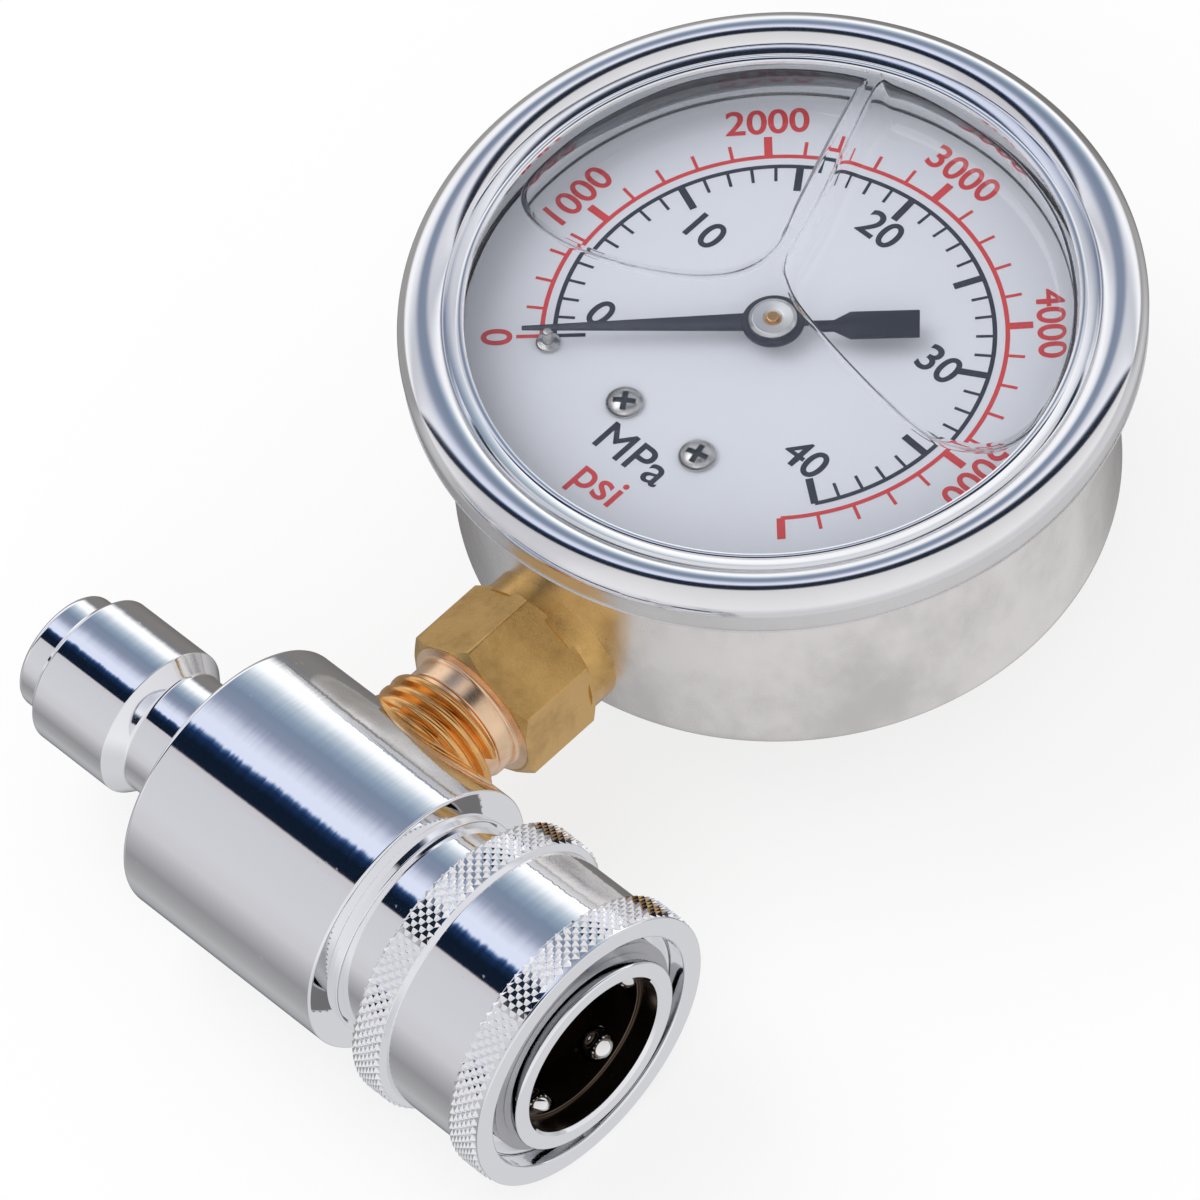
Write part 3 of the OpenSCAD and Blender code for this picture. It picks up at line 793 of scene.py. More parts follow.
def ride(piece: bpy.types.Object, slot: str, *nodes: str, body: str = "manifold") -> bpy.types.Object:
    """Lets a piece ride on a body and reports it.

    Args:
        piece: The piece.
        slot: Its material slot in the record; not used.
        nodes: The CAD nodes that it stands for.
        body: The body that carries it.

    Returns:
        The piece.
    """
    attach(piece, body)
    if nodes:
        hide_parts(*nodes)
    LOG.info("%s on %s, %d faces", piece.name, body, len(piece.data.polygons))
    return piece


# ---------------------------------------------------------------- repeated shapes


class Pattern(Graph):
    """A Geometry Nodes tree with named inputs, which repeats one small shape."""

    def __init__(self, name: str, inputs: dict[str, str]) -> None:
        """Makes the tree.

        Args:
            name: The tree's name.
            inputs: The kind of each input by its name.
        """
        super().__init__(bpy.data.node_groups.new(name, "GeometryNodeTree"), "GeometryNode")
        face = self.tree.interface
        face.new_socket("Geometry", in_out="OUTPUT", socket_type="NodeSocketGeometry")
        self.ids = {key: face.new_socket(key, in_out="INPUT", socket_type=f"NodeSocket{kind}").identifier
                    for key, kind in inputs.items()}
        self.given = self.tree.nodes.new("NodeGroupInput")

    def input(self, name: str) -> Wire:
        """Returns a named input."""
        return Wire(self, self.given.outputs[name])

    def finish(self, points: Wire, instance: Wire, rotation: Wire, scale: Wire) -> None:
        """Puts the shape on the points, makes it real and gives it the material of the input.

        Args:
            points: The points.
            instance: The shape.
            rotation: Its rotation at each point.
            scale: Its size at each point.
        """
        placed = self.node("InstanceOnPoints", Points=points, Instance=instance, Rotation=rotation,
                           Scale=scale)
        real = self.node("RealizeInstances", None, placed)
        end = self.tree.nodes.new("NodeGroupOutput")
        self.feed(end.inputs[0], self.node("SetMaterial", Geometry=real, Material=self.input("Finish")))

    def make(self, name: str, values: dict[str, object]) -> bpy.types.Mesh:
        """Runs the tree.

        Args:
            name: The mesh's name.
            values: A value for each input by its name.

        Returns:
            The plain mesh in metres.
        """
        host = linked(name, bpy.data.meshes.new(name))
        change = host.modifiers.new("pattern", "NODES")
        change.node_group = self.tree
        for key, value in values.items():
            change[self.ids[key]] = value
        mesh = applied(host)
        bpy.data.objects.remove(host)
        return mesh


def knurl_pattern() -> Pattern:
    """Builds the knurl: pyramids on a diamond base, in rows that are half a pitch apart round a cylinder."""
    p = Pattern("knurl", {"Columns": "Int", "Rows": "Int", "Start": "Float", "Row Pitch": "Float",
                          "Root Radius": "Float", "Height": "Float", "Flat": "Float", "Finish": "Material"})
    columns, pitch, radius = p.input("Columns"), p.input("Row Pitch"), p.input("Root Radius")
    index = p.node("InputIndex")
    row = (index / columns).math("FLOOR")
    angle = (index - row * columns + row.math("MODULO", 2.0) * 0.5) / columns * math.tau
    y, z = angle.math("COSINE"), angle.math("SINE")
    place = p.xyz(p.input("Start") + (row + 0.5) * pitch, y * radius, z * radius)
    centre = tuple(c * MM for c in CROSS)
    points = p.node("Points", None, columns * p.input("Rows"), p.vector("ADD", place, centre))
    pyramid = p.node("MeshCone", Vertices=4, Side_Segments=1, Fill_Segments=1,
                     Radius_Top=p.input("Flat"), Radius_Bottom=1.0, Depth=1.0)
    turn = p.node("FunctionNodeAxesToRotation", {"primary_axis": "Z", "secondary_axis": "X"},
                  p.xyz(0.0, y, z), (1.0, 0.0, 0.0))
    p.finish(points, pyramid, turn, p.xyz(pitch, radius * math.pi / columns, p.input("Height")))
    return p


def mark_pattern() -> Pattern:
    """Builds the dial's marks: flat bars along the radius, at equal angles."""
    p = Pattern("marks", {"Count": "Int", "First Angle": "Float", "Step": "Float", "Inner Radius": "Float",
                          "Length": "Float", "Width": "Float", "Height": "Float", "Finish": "Material"})
    length = p.input("Length")
    angle = p.input("First Angle") + p.node("InputIndex") * p.input("Step")
    reach = p.input("Inner Radius") + length * 0.5
    place = p.xyz(angle.math("COSINE") * reach, angle.math("SINE") * reach, p.input("Height"))
    centre = tuple(c * MM for c in Axis.DIAL.matrix().translation)
    points = p.node("Points", None, p.input("Count"), p.vector("ADD", place, centre))
    bar = p.node("MeshGrid", Size_X=1.0, Size_Y=1.0, Vertices_X=2, Vertices_Y=2)
    p.finish(points, bar, p.xyz(0.0, 0.0, angle), p.xyz(length, p.input("Width"), 1.0))
    return p


# ---------------------------------------------------------------- sub-assemblies


@dataclass
class GaugeCase:
    """The drawn case, its bezel, window, gasket and filling plug."""

    case_r: float = 30.5
    back: float = -7.2
    wall: float = 0.8
    corner: float = 2.4
    flange_z: float = 16.6
    shoulder: float = 1.6
    flange_r: float = 32.9
    bezel_r: float = 33.7
    bulge: float = 2.4
    bulge_degrees: int = 136
    groove: Sequence[Point] = ((-0.08, -0.16), (-0.18, -0.19), (-0.30, -0.12), (-0.42, -0.02))
    bead_in: float = 0.7
    bead: Sequence[Point] = ((0.06, 0.04), (0.0, 0.0), (-0.06, 0.03), (-0.2, 0.09), (-0.4, 0.1))
    flank_share: float = 0.93
    window_z: float = 17.2
    window_t: float = 1.6
    lip_r: float = 27.6
    lip_t: float = 0.5
    rise: float = 0.9
    gasket_r: Point = (28.6, 29.6)
    gasket_skirt: float = 2.6
    gasket_t: float = 0.6
    fill_r: float = 3.2
    fill_z: float = 4.0
    fill_depth: float = 2.0
    fill_head: float = 1.1

    def build(self) -> None:
        """Builds every piece of the case."""
        self.build_case()
        self.build_bezel()
        self.build_window()
        self.build_gasket()
        self.build_fill_plug()

    def build_case(self) -> None:
        """Builds the case with its rounded back edge and rolled shoulder."""
        r, z, w = self.case_r, self.flange_z, self.wall
        outline = rounded([
            (0, self.back, 0), (r, self.back, self.corner), (r, z - w, self.shoulder),
            (self.flange_r, z - w, 0.15), (self.flange_r, z, 0.15), (r - w, z, self.shoulder + w),
            (r - w, self.back + w, self.corner - w), (0, self.back + w, 0)], 10)
        ride(turned("gauge_case", outline, Axis.DIAL, 256, Finish.SATIN), "steel_satin", "case")

    def build_bezel(self) -> None:
        """Builds the bezel with its crimped edge, satin flank, polished bulge, groove, cone and bead."""
        top = self.window_z + self.window_t
        lip, seat, flange = top + self.lip_t, self.flange_z - self.wall, self.flange_r
        centre_r, centre_z = self.bezel_r - self.bulge, lip + self.rise - self.bulge
        arc = [(centre_r + x, centre_z + y)
               for x, y in (polar(self.bulge, a) for a in range(0, self.bulge_degrees, 5))]
        groove_r, groove_z = arc[-1]
        bead_r = self.lip_r + self.bead_in
        outline = [(self.lip_r, top), (flange, top), (flange, seat), (flange - 0.6, seat),
                   (flange - 0.6, seat - 0.35)]
        outline += rounded([(flange - 0.5, seat - 0.5, 0), (flange, seat - 0.7, 0.1),
                            (self.bezel_r - 0.25, seat - 0.4, 0.25), (self.bezel_r, seat, 0.3)], 5)[1:]
        outline += arc
        outline += [(groove_r + x, groove_z + y) for x, y in self.groove]
        outline += [(bead_r + x, lip + y) for x, y in self.bead]
        outline += [(self.lip_r + 0.1, lip + 0.02), (self.lip_r, lip - 0.12)]
        piece = turned("bezel", outline, Axis.DIAL, 320, Finish.POLISHED, angle=28)
        edge = centre_r + self.bulge * self.flank_share
        tint(piece, Finish.FLANK, Axis.DIAL, lambda at: at.xy.length > edge and at.z < centre_z + 0.2)
        ride(piece, "steel_polished", "bezel_ring")

    def build_window(self) -> None:
        """Builds the window disc."""
        r, z = self.flange_r - 0.1, self.window_z
        outline = rounded([(0, z, 0), (r, z, 0.15), (r, z + self.window_t, 0.15), (0, z + self.window_t, 0)])
        ride(turned("window_disc", outline, Axis.DIAL, 160, Finish.GLASS), "window_glass", "window")

    def build_gasket(self) -> None:
        """Builds the gasket with its skirt inside the case."""
        inner, outer = self.gasket_r
        z, flange, skirt = self.flange_z, self.flange_r - 0.1, self.flange_z - self.gasket_skirt
        outline = rounded([(inner, skirt, 0.2), (outer, skirt, 0.2), (outer, z, 0.05), (flange, z, 0.1),
                           (flange, z + self.gasket_t, 0.1), (inner, z + self.gasket_t, 0.12)])
        ride(turned("gasket", outline, Axis.DIAL, 192, Finish.RUBBER), "black_rubber", "window_gasket")

    def build_fill_plug(self) -> None:
        """Builds the rubber plug in the filling hole."""
        outer, r = self.case_r, self.fill_r
        foot, head = outer - self.wall - self.fill_depth, outer + self.fill_head
        outline = rounded([(0, foot, 0), (r, foot, 0.3), (r, outer - 0.1, 0.05), (r + 1, outer, 0.15),
                           (r + 0.5, head, 0.6), (0, head, 0)])
        place = Matrix.Translation((self.fill_z, 0, PIVOT))
        piece = turned("filling_plug", outline, Axis.STEM, 64, Finish.RUBBER, place)
        ride(piece, "black_rubber", "fill_plug")


@dataclass
class Liquid:
    """The clear liquid behind the window and its two air bubbles."""

    radius: float = 28.5
    low: float = 12.6
    high: float = 17.18
    wall_z: float = 16.5
    floor_z: float = 13.3
    floor_in: float = 2.6
    lip_in: float = 0.45
    flare: float = 1.4
    overshoot: float = 0.3
    rings: int = 10
    left: Sequence[Point] = (
        (-12.3, 25.0), (-16.5, 22.6), (-21.0, 18.6), (-25.0, 12.6), (-27.3, 5.0), (-27.6, -1.5),
        (-26.7, -4.9), (-24.2, -6.4), (-20.4, -6.5), (-16.3, -5.5), (-11.8, -3.6), (-7.9, -1.1),
        (-5.4, 2.0), (-4.8, 5.9), (-6.6, 10.6), (-9.2, 17.3), (-11.2, 22.8), (-11.6, 24.6))
    right: Sequence[Point] = (
        (-10.9, 25.3), (-8.6, 18.9), (-5.9, 12.1), (-4.3, 7.3), (-3.4, 4.9), (-1.7, 3.3), (1.7, 1.8),
        (9.4, 0.1), (17.7, -1.0), (21.9, -0.4), (25.3, 2.0), (26.3, 6.0), (25.0, 11.0), (22.2, 16.0),
        (17.6, 21.0), (11.5, 25.0), (4.0, 27.2), (-3.8, 27.3), (-9.3, 26.3))

    def build(self) -> None:
        """Builds the liquid with the bubbles cut out."""
        outline = rounded([(0, self.low, 0), (self.radius, self.low, 0.1),
                           (self.radius, self.high, 0.1), (0, self.high, 0)])
        body = lathe("liquid", outline, Axis.DIAL, 160)
        for bubble in (self.left, self.right):
            body = combined(body, self.bubble(bubble), Cut.AWAY)
        ride(dressed("liquid", body, Finish.LIQUID, 50), "window_glass")

    def profile(self) -> list[Point]:
        """Returns a bubble's side from above the window to its floor, as inset and height."""
        drop, depth = self.high - self.wall_z, self.wall_z - self.floor_z
        out = [(self.lip_in * self.flare, self.high + self.overshoot), (self.lip_in, self.high)]
        out += [(self.lip_in * (1 - k / 4) ** 2, self.high - drop * k / 4) for k in range(1, 4)]
        for t in (math.pi / 2 * k / self.rings for k in range(self.rings + 1)):
            out.append((self.floor_in * (1 - math.cos(t)), self.wall_z - depth * math.sin(t)))
        return out

    def bubble(self, outline: Sequence[Point]) -> bpy.types.Mesh:
        """Makes a bubble that bulges below the window and curves in to its floor.

        Args:
            outline: Points that its smooth rim goes through.

        Returns:
            The closed mesh.
        """
        loop = smooth_loop(outline, 10)
        count = len(loop)
        centre = Vector((sum(p[0] for p in loop) / count, sum(p[1] for p in loop) / count))
        mean = sum((Vector(p) - centre).length for p in loop) / count
        verts: list[Corner] = []
        profile = self.profile()
        for inset, z in profile:
            verts += [(*(centre + (Vector(p) - centre) * (1 - inset / mean)), z) for p in loop]
        return mesh_from("bubble", verts, swept_faces(len(profile) - 1, count), Axis.DIAL.matrix())


@dataclass(frozen=True)
class Mark:
    """One kind of printed mark: its colour, length, width and how high over the dial it lies."""

    finish: Finish
    length: float
    width: float
    lift: float = 0.024


@dataclass
class Dial:
    """The dial plate with its two printed scales, screws and stop pin; angles in degrees."""

    face: float = 12.8
    hole_r: float = 1.6
    plate_r: float = 28.3
    plate_t: float = 0.6
    print_h: float = 0.02
    zero: float = 222.6
    line: float = 0.42
    arc_steps: int = 240
    psi_end: float = -45.0
    psi_step: float = 45.0
    psi_arc: float = 20.9
    psi_marks: Sequence[Mark] = (
        Mark(Finish.RED, 1.7, 0.32, 0.02), Mark(Finish.RED, 2.3, 0.4), Mark(Finish.RED, 2.3, 0.75))
    psi_size: float = 3.9
    psi_number_r: float = 24.8
    psi_unit: Point = (0.0, -22.6)
    mpa_first: float = 0.275
    mpa_step: float = 6.527
    mpa_steps: float = 33.1
    mpa_arc: float = 19.75
    mpa_marks: Sequence[Mark] = (
        Mark(Finish.BLACK, 1.7, 0.3, 0.02), Mark(Finish.BLACK, 2.8, 0.4), Mark(Finish.BLACK, 2.8, 0.7))
    mpa_size: float = 4.2
    mpa_numbers: Sequence[tuple[str, Point]] = (
        ("0", (-13.1, -9.0)), ("10", (-13.5, 4.7)), ("20", (-1.3, 15.2)), ("30", (13.0, 7.5)),
        ("40", (12.0, -8.7)))
    mpa_unit: Point = (0.0, -18.4)
    unit_size: float = 4.6
    number_weight: float = 0.07
    unit_weight: float = 0.05
    screw_at: Point = (4.5, -14.7)
    screw_r: float = 1.75
    screw_rim: float = 0.30
    screw_dome: float = 0.6
    recess: Point = (1.05, 0.28)
    recess_z: float = 0.18
    stop_r: float = 20.3
    stop_angle: float = 225.0
    stop_h: float = 3.0

    def build(self) -> None:
        """Builds the plate, the prints, the screws and the stop pin."""
        low = self.face - self.plate_t
        outline = rounded([(self.hole_r, low, 0.05), (self.plate_r, low, 0.1),
                           (self.plate_r, self.face, 0.1), (self.hole_r, self.face, 0.05)])
        ride(turned("dial_plate", outline, Axis.DIAL, 192, Finish.DIAL), "dial_white", "dial")
        for name, finish, meshes in (("psi_print", Finish.RED, self.psi_meshes()),
                                     ("mpa_print", Finish.BLACK, self.mpa_meshes())):
            ride(dressed(name, joined(name, meshes), finish), "dial_white")
        self.build_screws()
        self.build_stop()

    @cached_property
    def pattern(self) -> Pattern:
        """The Geometry Nodes tree of the marks, made once."""
        return mark_pattern()

    def marks(self, mark: Mark, inner: float, first: float, count: int, step: float) -> bpy.types.Mesh:
        """Prints marks along the radius.

        Args:
            mark: Their kind.
            inner: The radius at which they begin.
            first: The first mark's angle.
            count: How many there are.
            step: The angle from one to the next, clockwise.

        Returns:
            The flat mesh.
        """
        return self.pattern.make("marks", {
            "Count": count, "First Angle": math.radians(first), "Step": -math.radians(step),
            "Inner Radius": inner * MM, "Length": mark.length * MM, "Width": mark.width * MM,
            "Height": (self.face + mark.lift) * MM, "Finish": mark.finish.material})

    def arc(self, radius: float, sweep: float) -> bpy.types.Mesh:
        """Prints an arc from the zero angle on.

        Args:
            radius: The radius of its middle.
            sweep: Its angle, clockwise.

        Returns:
            The flat mesh.
        """
        verts = []
        for k in range(self.arc_steps + 1):
            verts += [(*polar(r, self.zero - sweep * k / self.arc_steps), self.face + self.print_h)
                      for r in (radius - self.line / 2, radius + self.line / 2)]
        faces = [[2 * k, 2 * k + 1, 2 * k + 3, 2 * k + 2] for k in range(self.arc_steps)]
        return upwards(mesh_from("arc", verts, faces, Axis.DIAL.matrix()))

    def words(self, text: str, size: float, at: Point, turn: float, weight: float) -> bpy.types.Mesh:
        """Prints flat lettering centred at a point of the dial.

        Args:
            text: The characters.
            size: Their size in millimetres.
            at: The centre.
            turn: The baseline's angle.
            weight: How far the strokes grow on every side, in millimetres.

        Returns:
            The flat mesh in its place.
        """
        curve = bpy.data.curves.new("words", "FONT")
        curve.body, curve.size = text, size
        curve.align_x, curve.align_y = "CENTER", "CENTER"
        curve.resolution_u = 6
        holder = linked("words", curve)
        mesh = thickened(applied(holder), weight)
        bpy.data.objects.remove(holder)
        place = Axis.DIAL.matrix() @ Matrix.Translation((*at, self.face + self.print_h))
        mesh.transform(Matrix.Scale(MM, 4) @ place @ Matrix.Rotation(math.radians(turn), 4, "Z"))
        mesh.materials.clear()
        return mesh

    def psi_angle(self, value: float) -> float:
        """Returns a pressure's angle; the scale is shortened below its first number."""
        if value < 1000:
            return self.zero - (self.zero - 180) * value / 1000
        return 180 - self.psi_step * (value / 1000 - 1)

    def psi_meshes(self) -> list[bpy.types.Mesh]:
        """Returns the outer scale: arc, marks, numbers and unit."""
        first, inner = self.psi_angle(1000), self.psi_arc
        fine, edge, bold = self.psi_marks
        out = [self.arc(self.psi_arc, self.zero - self.psi_end),
               self.marks(fine, inner, self.zero, 5, (self.zero - first) / 5),
               self.marks(fine, inner, first, 26, self.psi_step / 5),
               self.marks(edge, inner, self.zero, 1, 0),
               self.marks(bold, inner, first, 6, self.psi_step)]
        for value in range(0, 6000, 1000):
            angle = self.psi_angle(value)
            out.append(self.words(str(value), self.psi_size, polar(self.psi_number_r, angle), angle - 90,
                                  self.number_weight))
        return out + [self.words("psi", self.unit_size, self.psi_unit, 0, self.unit_weight)]

    def mpa_meshes(self) -> list[bpy.types.Mesh]:
        """Returns the inner scale: arc, marks, numbers and unit."""
        five, forty = 180 + (self.zero - 180) * self.mpa_first, 180 - self.mpa_step * self.mpa_steps
        fine, edge, bold = self.mpa_marks
        out = [self.arc(self.mpa_arc, self.zero - forty),
               self.marks(fine, self.mpa_arc - fine.length, self.zero, 5, (self.zero - five) / 5),
               self.marks(fine, self.mpa_arc - fine.length, five, 36, (five - forty) / 35),
               self.marks(edge, self.mpa_arc - edge.length, self.zero, 1, 0),
               self.marks(bold, self.mpa_arc - bold.length, five, 8, (five - forty) / 7)]
        out += [self.words(text, self.mpa_size, at, 0, self.number_weight) for text, at in self.mpa_numbers]
        return out + [self.words("MPa", self.unit_size, self.mpa_unit, 0, self.unit_weight)]

    def build_screws(self) -> None:
        """Builds the two domed screws with cross recesses."""
        r, rim, (long, wide) = self.screw_r, self.screw_rim, self.recess
        head = [(0, -3.6), (1.0, -3.6), (1.0, -0.02), (r, 0.0), (r, rim)]
        head += [(r * math.cos(math.radians(a)), rim + self.screw_dome * math.sin(math.radians(a)))
                 for a in range(12, 85, 12)]
        head.append((0, rim + self.screw_dome))
        bar = [(-long, -wide), (long, -wide), (long, wide), (-long, wide)]
        centres = [Vector((side * self.screw_at[0], self.screw_at[1])) for side in (-1, 1)]
        meshes = []
        for at, turn in zip(centres, (0.6, 0.25)):
            screw = lathe("screw", head, Axis.DIAL, 64, Matrix.Translation((*at, self.face)))
            for quarter in (0, math.pi / 2):
                spin = Matrix.Rotation(turn + quarter, 2)
                outline = [tuple(spin @ Vector(p) + at) for p in bar]
                cutter = prism("recess", outline, self.face + self.recess_z, self.face + 2, Axis.DIAL)
                screw = combined(screw, cutter, Cut.AWAY)
            meshes.append(screw)
        piece = dressed("dial_screw_heads", joined("dial_screw_heads", meshes), Finish.SCREW, 35)
        # The faces in the cross recesses take the dark finish: painted shade in the recesses.
        reach, low, high = 1.3, self.face + self.recess_z - 0.01, self.face + 0.62
        tint(piece, Finish.RECESS, Axis.DIAL,
             lambda at: low < at.z < high and min((at.xy - centre).length for centre in centres) < reach)
        ride(piece, "steel_polished", "dial_screws")

    def build_stop(self) -> None:
        """Builds the stop pin with its collar."""
        outline = rounded([(0, -0.6, 0), (0.45, -0.6, 0), (0.45, -0.01, 0), (1.15, 0, 0.1), (1.15, 0.5, 0.25),
                           (0.45, 0.55, 0.1), (0.45, self.stop_h, 0.2), (0, self.stop_h, 0)])
        place = Matrix.Translation((*polar(self.stop_r, self.stop_angle), self.face))
        ride(turned("stop_pin_turned", outline, Axis.DIAL, 48, Finish.SCREW, place), "brass", "stop_pin")


@dataclass
class Pointer:
    """The pointer with its boss, the bright hub and the arbor's end."""

    low: float = 14.7
    thick: float = 0.4
    length: float = 22.6
    tail: float = 13.1
    tail_plate: float = 6.2
    boss_r: float = 2.85
    hub_r: float = 2.2
    hub_h: float = 0.8
    rest: float = 222.6
    arbor_r: float = 0.6
    arbor_low: float = 4.5

    def build(self) -> None:
        """Builds the pointer, the hub and the arbor."""
        plate, tail, boss_r = self.tail_plate - self.tail, self.tail, self.boss_r
        blade = [(0, 1.05), (self.length, 0.2), (self.length, -0.2), (0, -1.05), (-boss_r, -0.55),
                 (plate + 1.5, -0.55), (plate, -1.45), (-tail, -1.45), (-tail, 1.45), (plate, 1.45),
                 (plate + 1.5, 0.55), (-boss_r, 0.55)]
        bar = prism("blade", blade, self.low, self.low + self.thick, Axis.DIAL, 0.06, math.radians(self.rest))
        foot, base = self.low - 0.1, self.low + self.thick + 0.1
        disc = rounded([(0, foot, 0), (boss_r, foot, 0.15), (boss_r, base, 0.15), (0, base, 0)])
        boss = lathe("boss", disc, Axis.DIAL, 96)
        ride(dressed("pointer_blade", joined("pointer_blade", [bar, boss]), Finish.POINTER),
             "pointer_black", "pointer", body="pointer")
        top, r = base + self.hub_h, self.arbor_r
        hub = rounded([(r, base, 0), (self.hub_r, base, 0), (self.hub_r, top - 0.25, 0.1),
                       (self.hub_r - 0.35, top, 0.15), (r + 0.35, top - 0.06, 0.2), (r, top - 0.2, 0.05)])
        ride(turned("hub_disc", hub, Axis.DIAL, 96, Finish.HUB), "steel_polished", "pointer_hub",
             body="pointer")
        low, high = self.arbor_low, top + 0.2
        arbor = rounded([(0, low, 0), (r, low, 0.1), (r, high, 0.12), (0, high, 0)])
        ride(turned("arbor", arbor, Axis.DIAL, 48, Finish.THREAD), "brass", "pointer_arbor", body="pointer")


@dataclass
class Stem:
    """The brass stem: thread, neck, hexagon and collar."""

    thread_low: float = 5.55
    thread_high: float = 17.05
    crest: float = 6.6
    root: float = 5.75
    foot: float = 0.4
    pitch: float = 1.4
    run_out: float = 0.8
    turn_steps: int = 96
    form: Sequence[Point] = (
        (0.0, 0.0), (0.05, 0.02), (0.13, 0.25), (0.23, 0.68), (0.32, 0.92), (0.42, 1.0), (0.58, 1.0),
        (0.68, 0.92), (0.77, 0.68), (0.87, 0.25), (0.95, 0.02), (1.0, 0.0))
    neck_r: float = 5.9
    flare_r: float = 6.9
    hex_low: float = 19.4
    hex_high: float = 28.0
    flats: float = 14.0
    hex_slope: float = 30.0
    collar_r: float = 7.2
    collar_high: float = 31.6
    case_r: float = 30.45

    def build(self) -> None:
        """Builds the stem as thread, neck and hexagon with its collar."""
        hexagon = self.hexagon()
        core, low, high = self.root - 0.05, self.thread_low, self.thread_high
        neck = lathe("neck", rounded([
            (0, low, 0), (core, low, 0.2), (core, high, 0), (self.neck_r, high + 0.1, 0.15),
            (self.neck_r, self.hex_low - 0.2, 0.3), (self.flare_r, self.hex_low, 0.05),
            (self.flare_r - 0.3, self.hex_low + 0.4, 0),
            (0, self.hex_low + 0.4, 0)]), Axis.STEM, 128)
        start = self.hex_high - 0.5
        collar = lathe("collar", [(0, start), (self.collar_r, start), (self.collar_r, self.collar_high),
                                  (0, self.collar_high)], Axis.STEM, 128)
        case = lathe("cut", [(0, -20), (self.case_r, -20), (self.case_r, 20), (0, 20)], Axis.DIAL, 192)
        collar = combined(collar, case, Cut.AWAY)
        for name, mesh, finish, angle in (
                ("stem_hexagon", joined("stem_hexagon", [hexagon, collar]), Finish.BRASS, 25),
                ("stem_neck", neck, Finish.NECK, SHARP_ANGLE),
                ("stem_thread", self.thread(), Finish.THREAD, 60)):
            ride(dressed(name, mesh, finish, angle), "brass", "stem")

    def hexagon(self) -> bpy.types.Mesh:
        """Returns the hexagon with its turned edges."""
        outline = [polar(self.flats / math.sqrt(3), 60 * k) for k in range(6)]
        block = prism("hexagon", outline, self.hex_low, self.hex_high, Axis.STEM, 0.07)
        far = self.flats
        slope = math.tan(math.radians(self.hex_slope)) * (far - self.collar_r)
        cone = lathe("cone", [
            (0, self.hex_low - 0.01), (self.collar_r - 0.1, self.hex_low - 0.01), (far, self.hex_low + slope),
            (far, self.hex_high - slope), (self.collar_r, self.hex_high + 0.01), (0, self.hex_high + 0.01)],
            Axis.STEM, 256)
        return combined(block, cone, Cut.COMMON)

    def thread(self) -> bpy.types.Mesh:
        """Returns the helical thread, swept turn by turn and run out at both ends."""
        low, high, inner = self.thread_low, self.thread_high, self.root - self.foot
        total = int(((high - low) / self.pitch - 1) * self.turn_steps)
        verts: list[Corner] = []
        for u in range(total + 1):
            a = math.tau * u / self.turn_steps
            ring = []
            for share, height in self.form:
                y = low + self.pitch * (u / self.turn_steps + share)
                fade = min(1.0, (y - low) / self.run_out, (high - y) / self.run_out + 0.02)
                ring.append((self.root + (self.crest - self.root) * height * max(0.0, fade), y))
            ring += [(inner, low + self.pitch * (u / self.turn_steps + share)) for share in (0.98, 0.02)]
            verts += [(r * math.cos(a), r * math.sin(a), y) for r, y in ring]
        return mesh_from("thread", verts, swept_faces(total, len(self.form) + 2), Axis.STEM.matrix())


@dataclass
class Manifold:
    """The chrome body between plug, stem and coupler, and the plug."""

    radius: float = 13.55
    plug_end: float = -11.2
    coupler_end: float = 12.6
    ring_r: float = 11.2
    ring_x: float = 13.4
    flow_r: float = 3.5
    plug_r: float = 7.45
    plug_root: float = -6.9
    root_r: float = 6.9
    neck_r: float = 6.1
    nose_r: float = 5.85
    nose_x: float = -32.5

    def build(self) -> None:
        """Builds the body and the plug."""
        body = rounded([
            (self.flow_r, self.plug_end, 0.1), (self.radius, self.plug_end, 0.5),
            (self.radius, self.coupler_end - 0.3, 0.25), (self.ring_r + 0.15, self.coupler_end, 0.1),
            (self.ring_r, self.coupler_end + 0.02, 0), (self.ring_r, self.ring_x, 0.2),
            (self.flow_r, self.ring_x, 0.1)])
        ride(turned("body", body, Axis.FLOW, 320, Finish.CHROME), "chrome", "manifold_body")
        x = self.nose_x
        plug = rounded([
            (self.flow_r, x, 0.2), (self.nose_r, x, 0.55), (self.nose_r, x + 2.95, 0.1),
            (self.plug_r - 0.6, x + 3.0, 0.15), (self.plug_r, x + 3.6, 0.3), (self.plug_r, x + 12.4, 0.2),
            (self.neck_r, x + 14.0, 0.5), (self.neck_r, x + 20.0, 1.2), (self.root_r, self.plug_end, 0),
            (self.root_r, self.plug_root, 0), (self.flow_r, self.plug_root, 0)])
        ride(turned("plug_turned", plug, Axis.FLOW, 256, Finish.CHROME), "chrome", "plug")


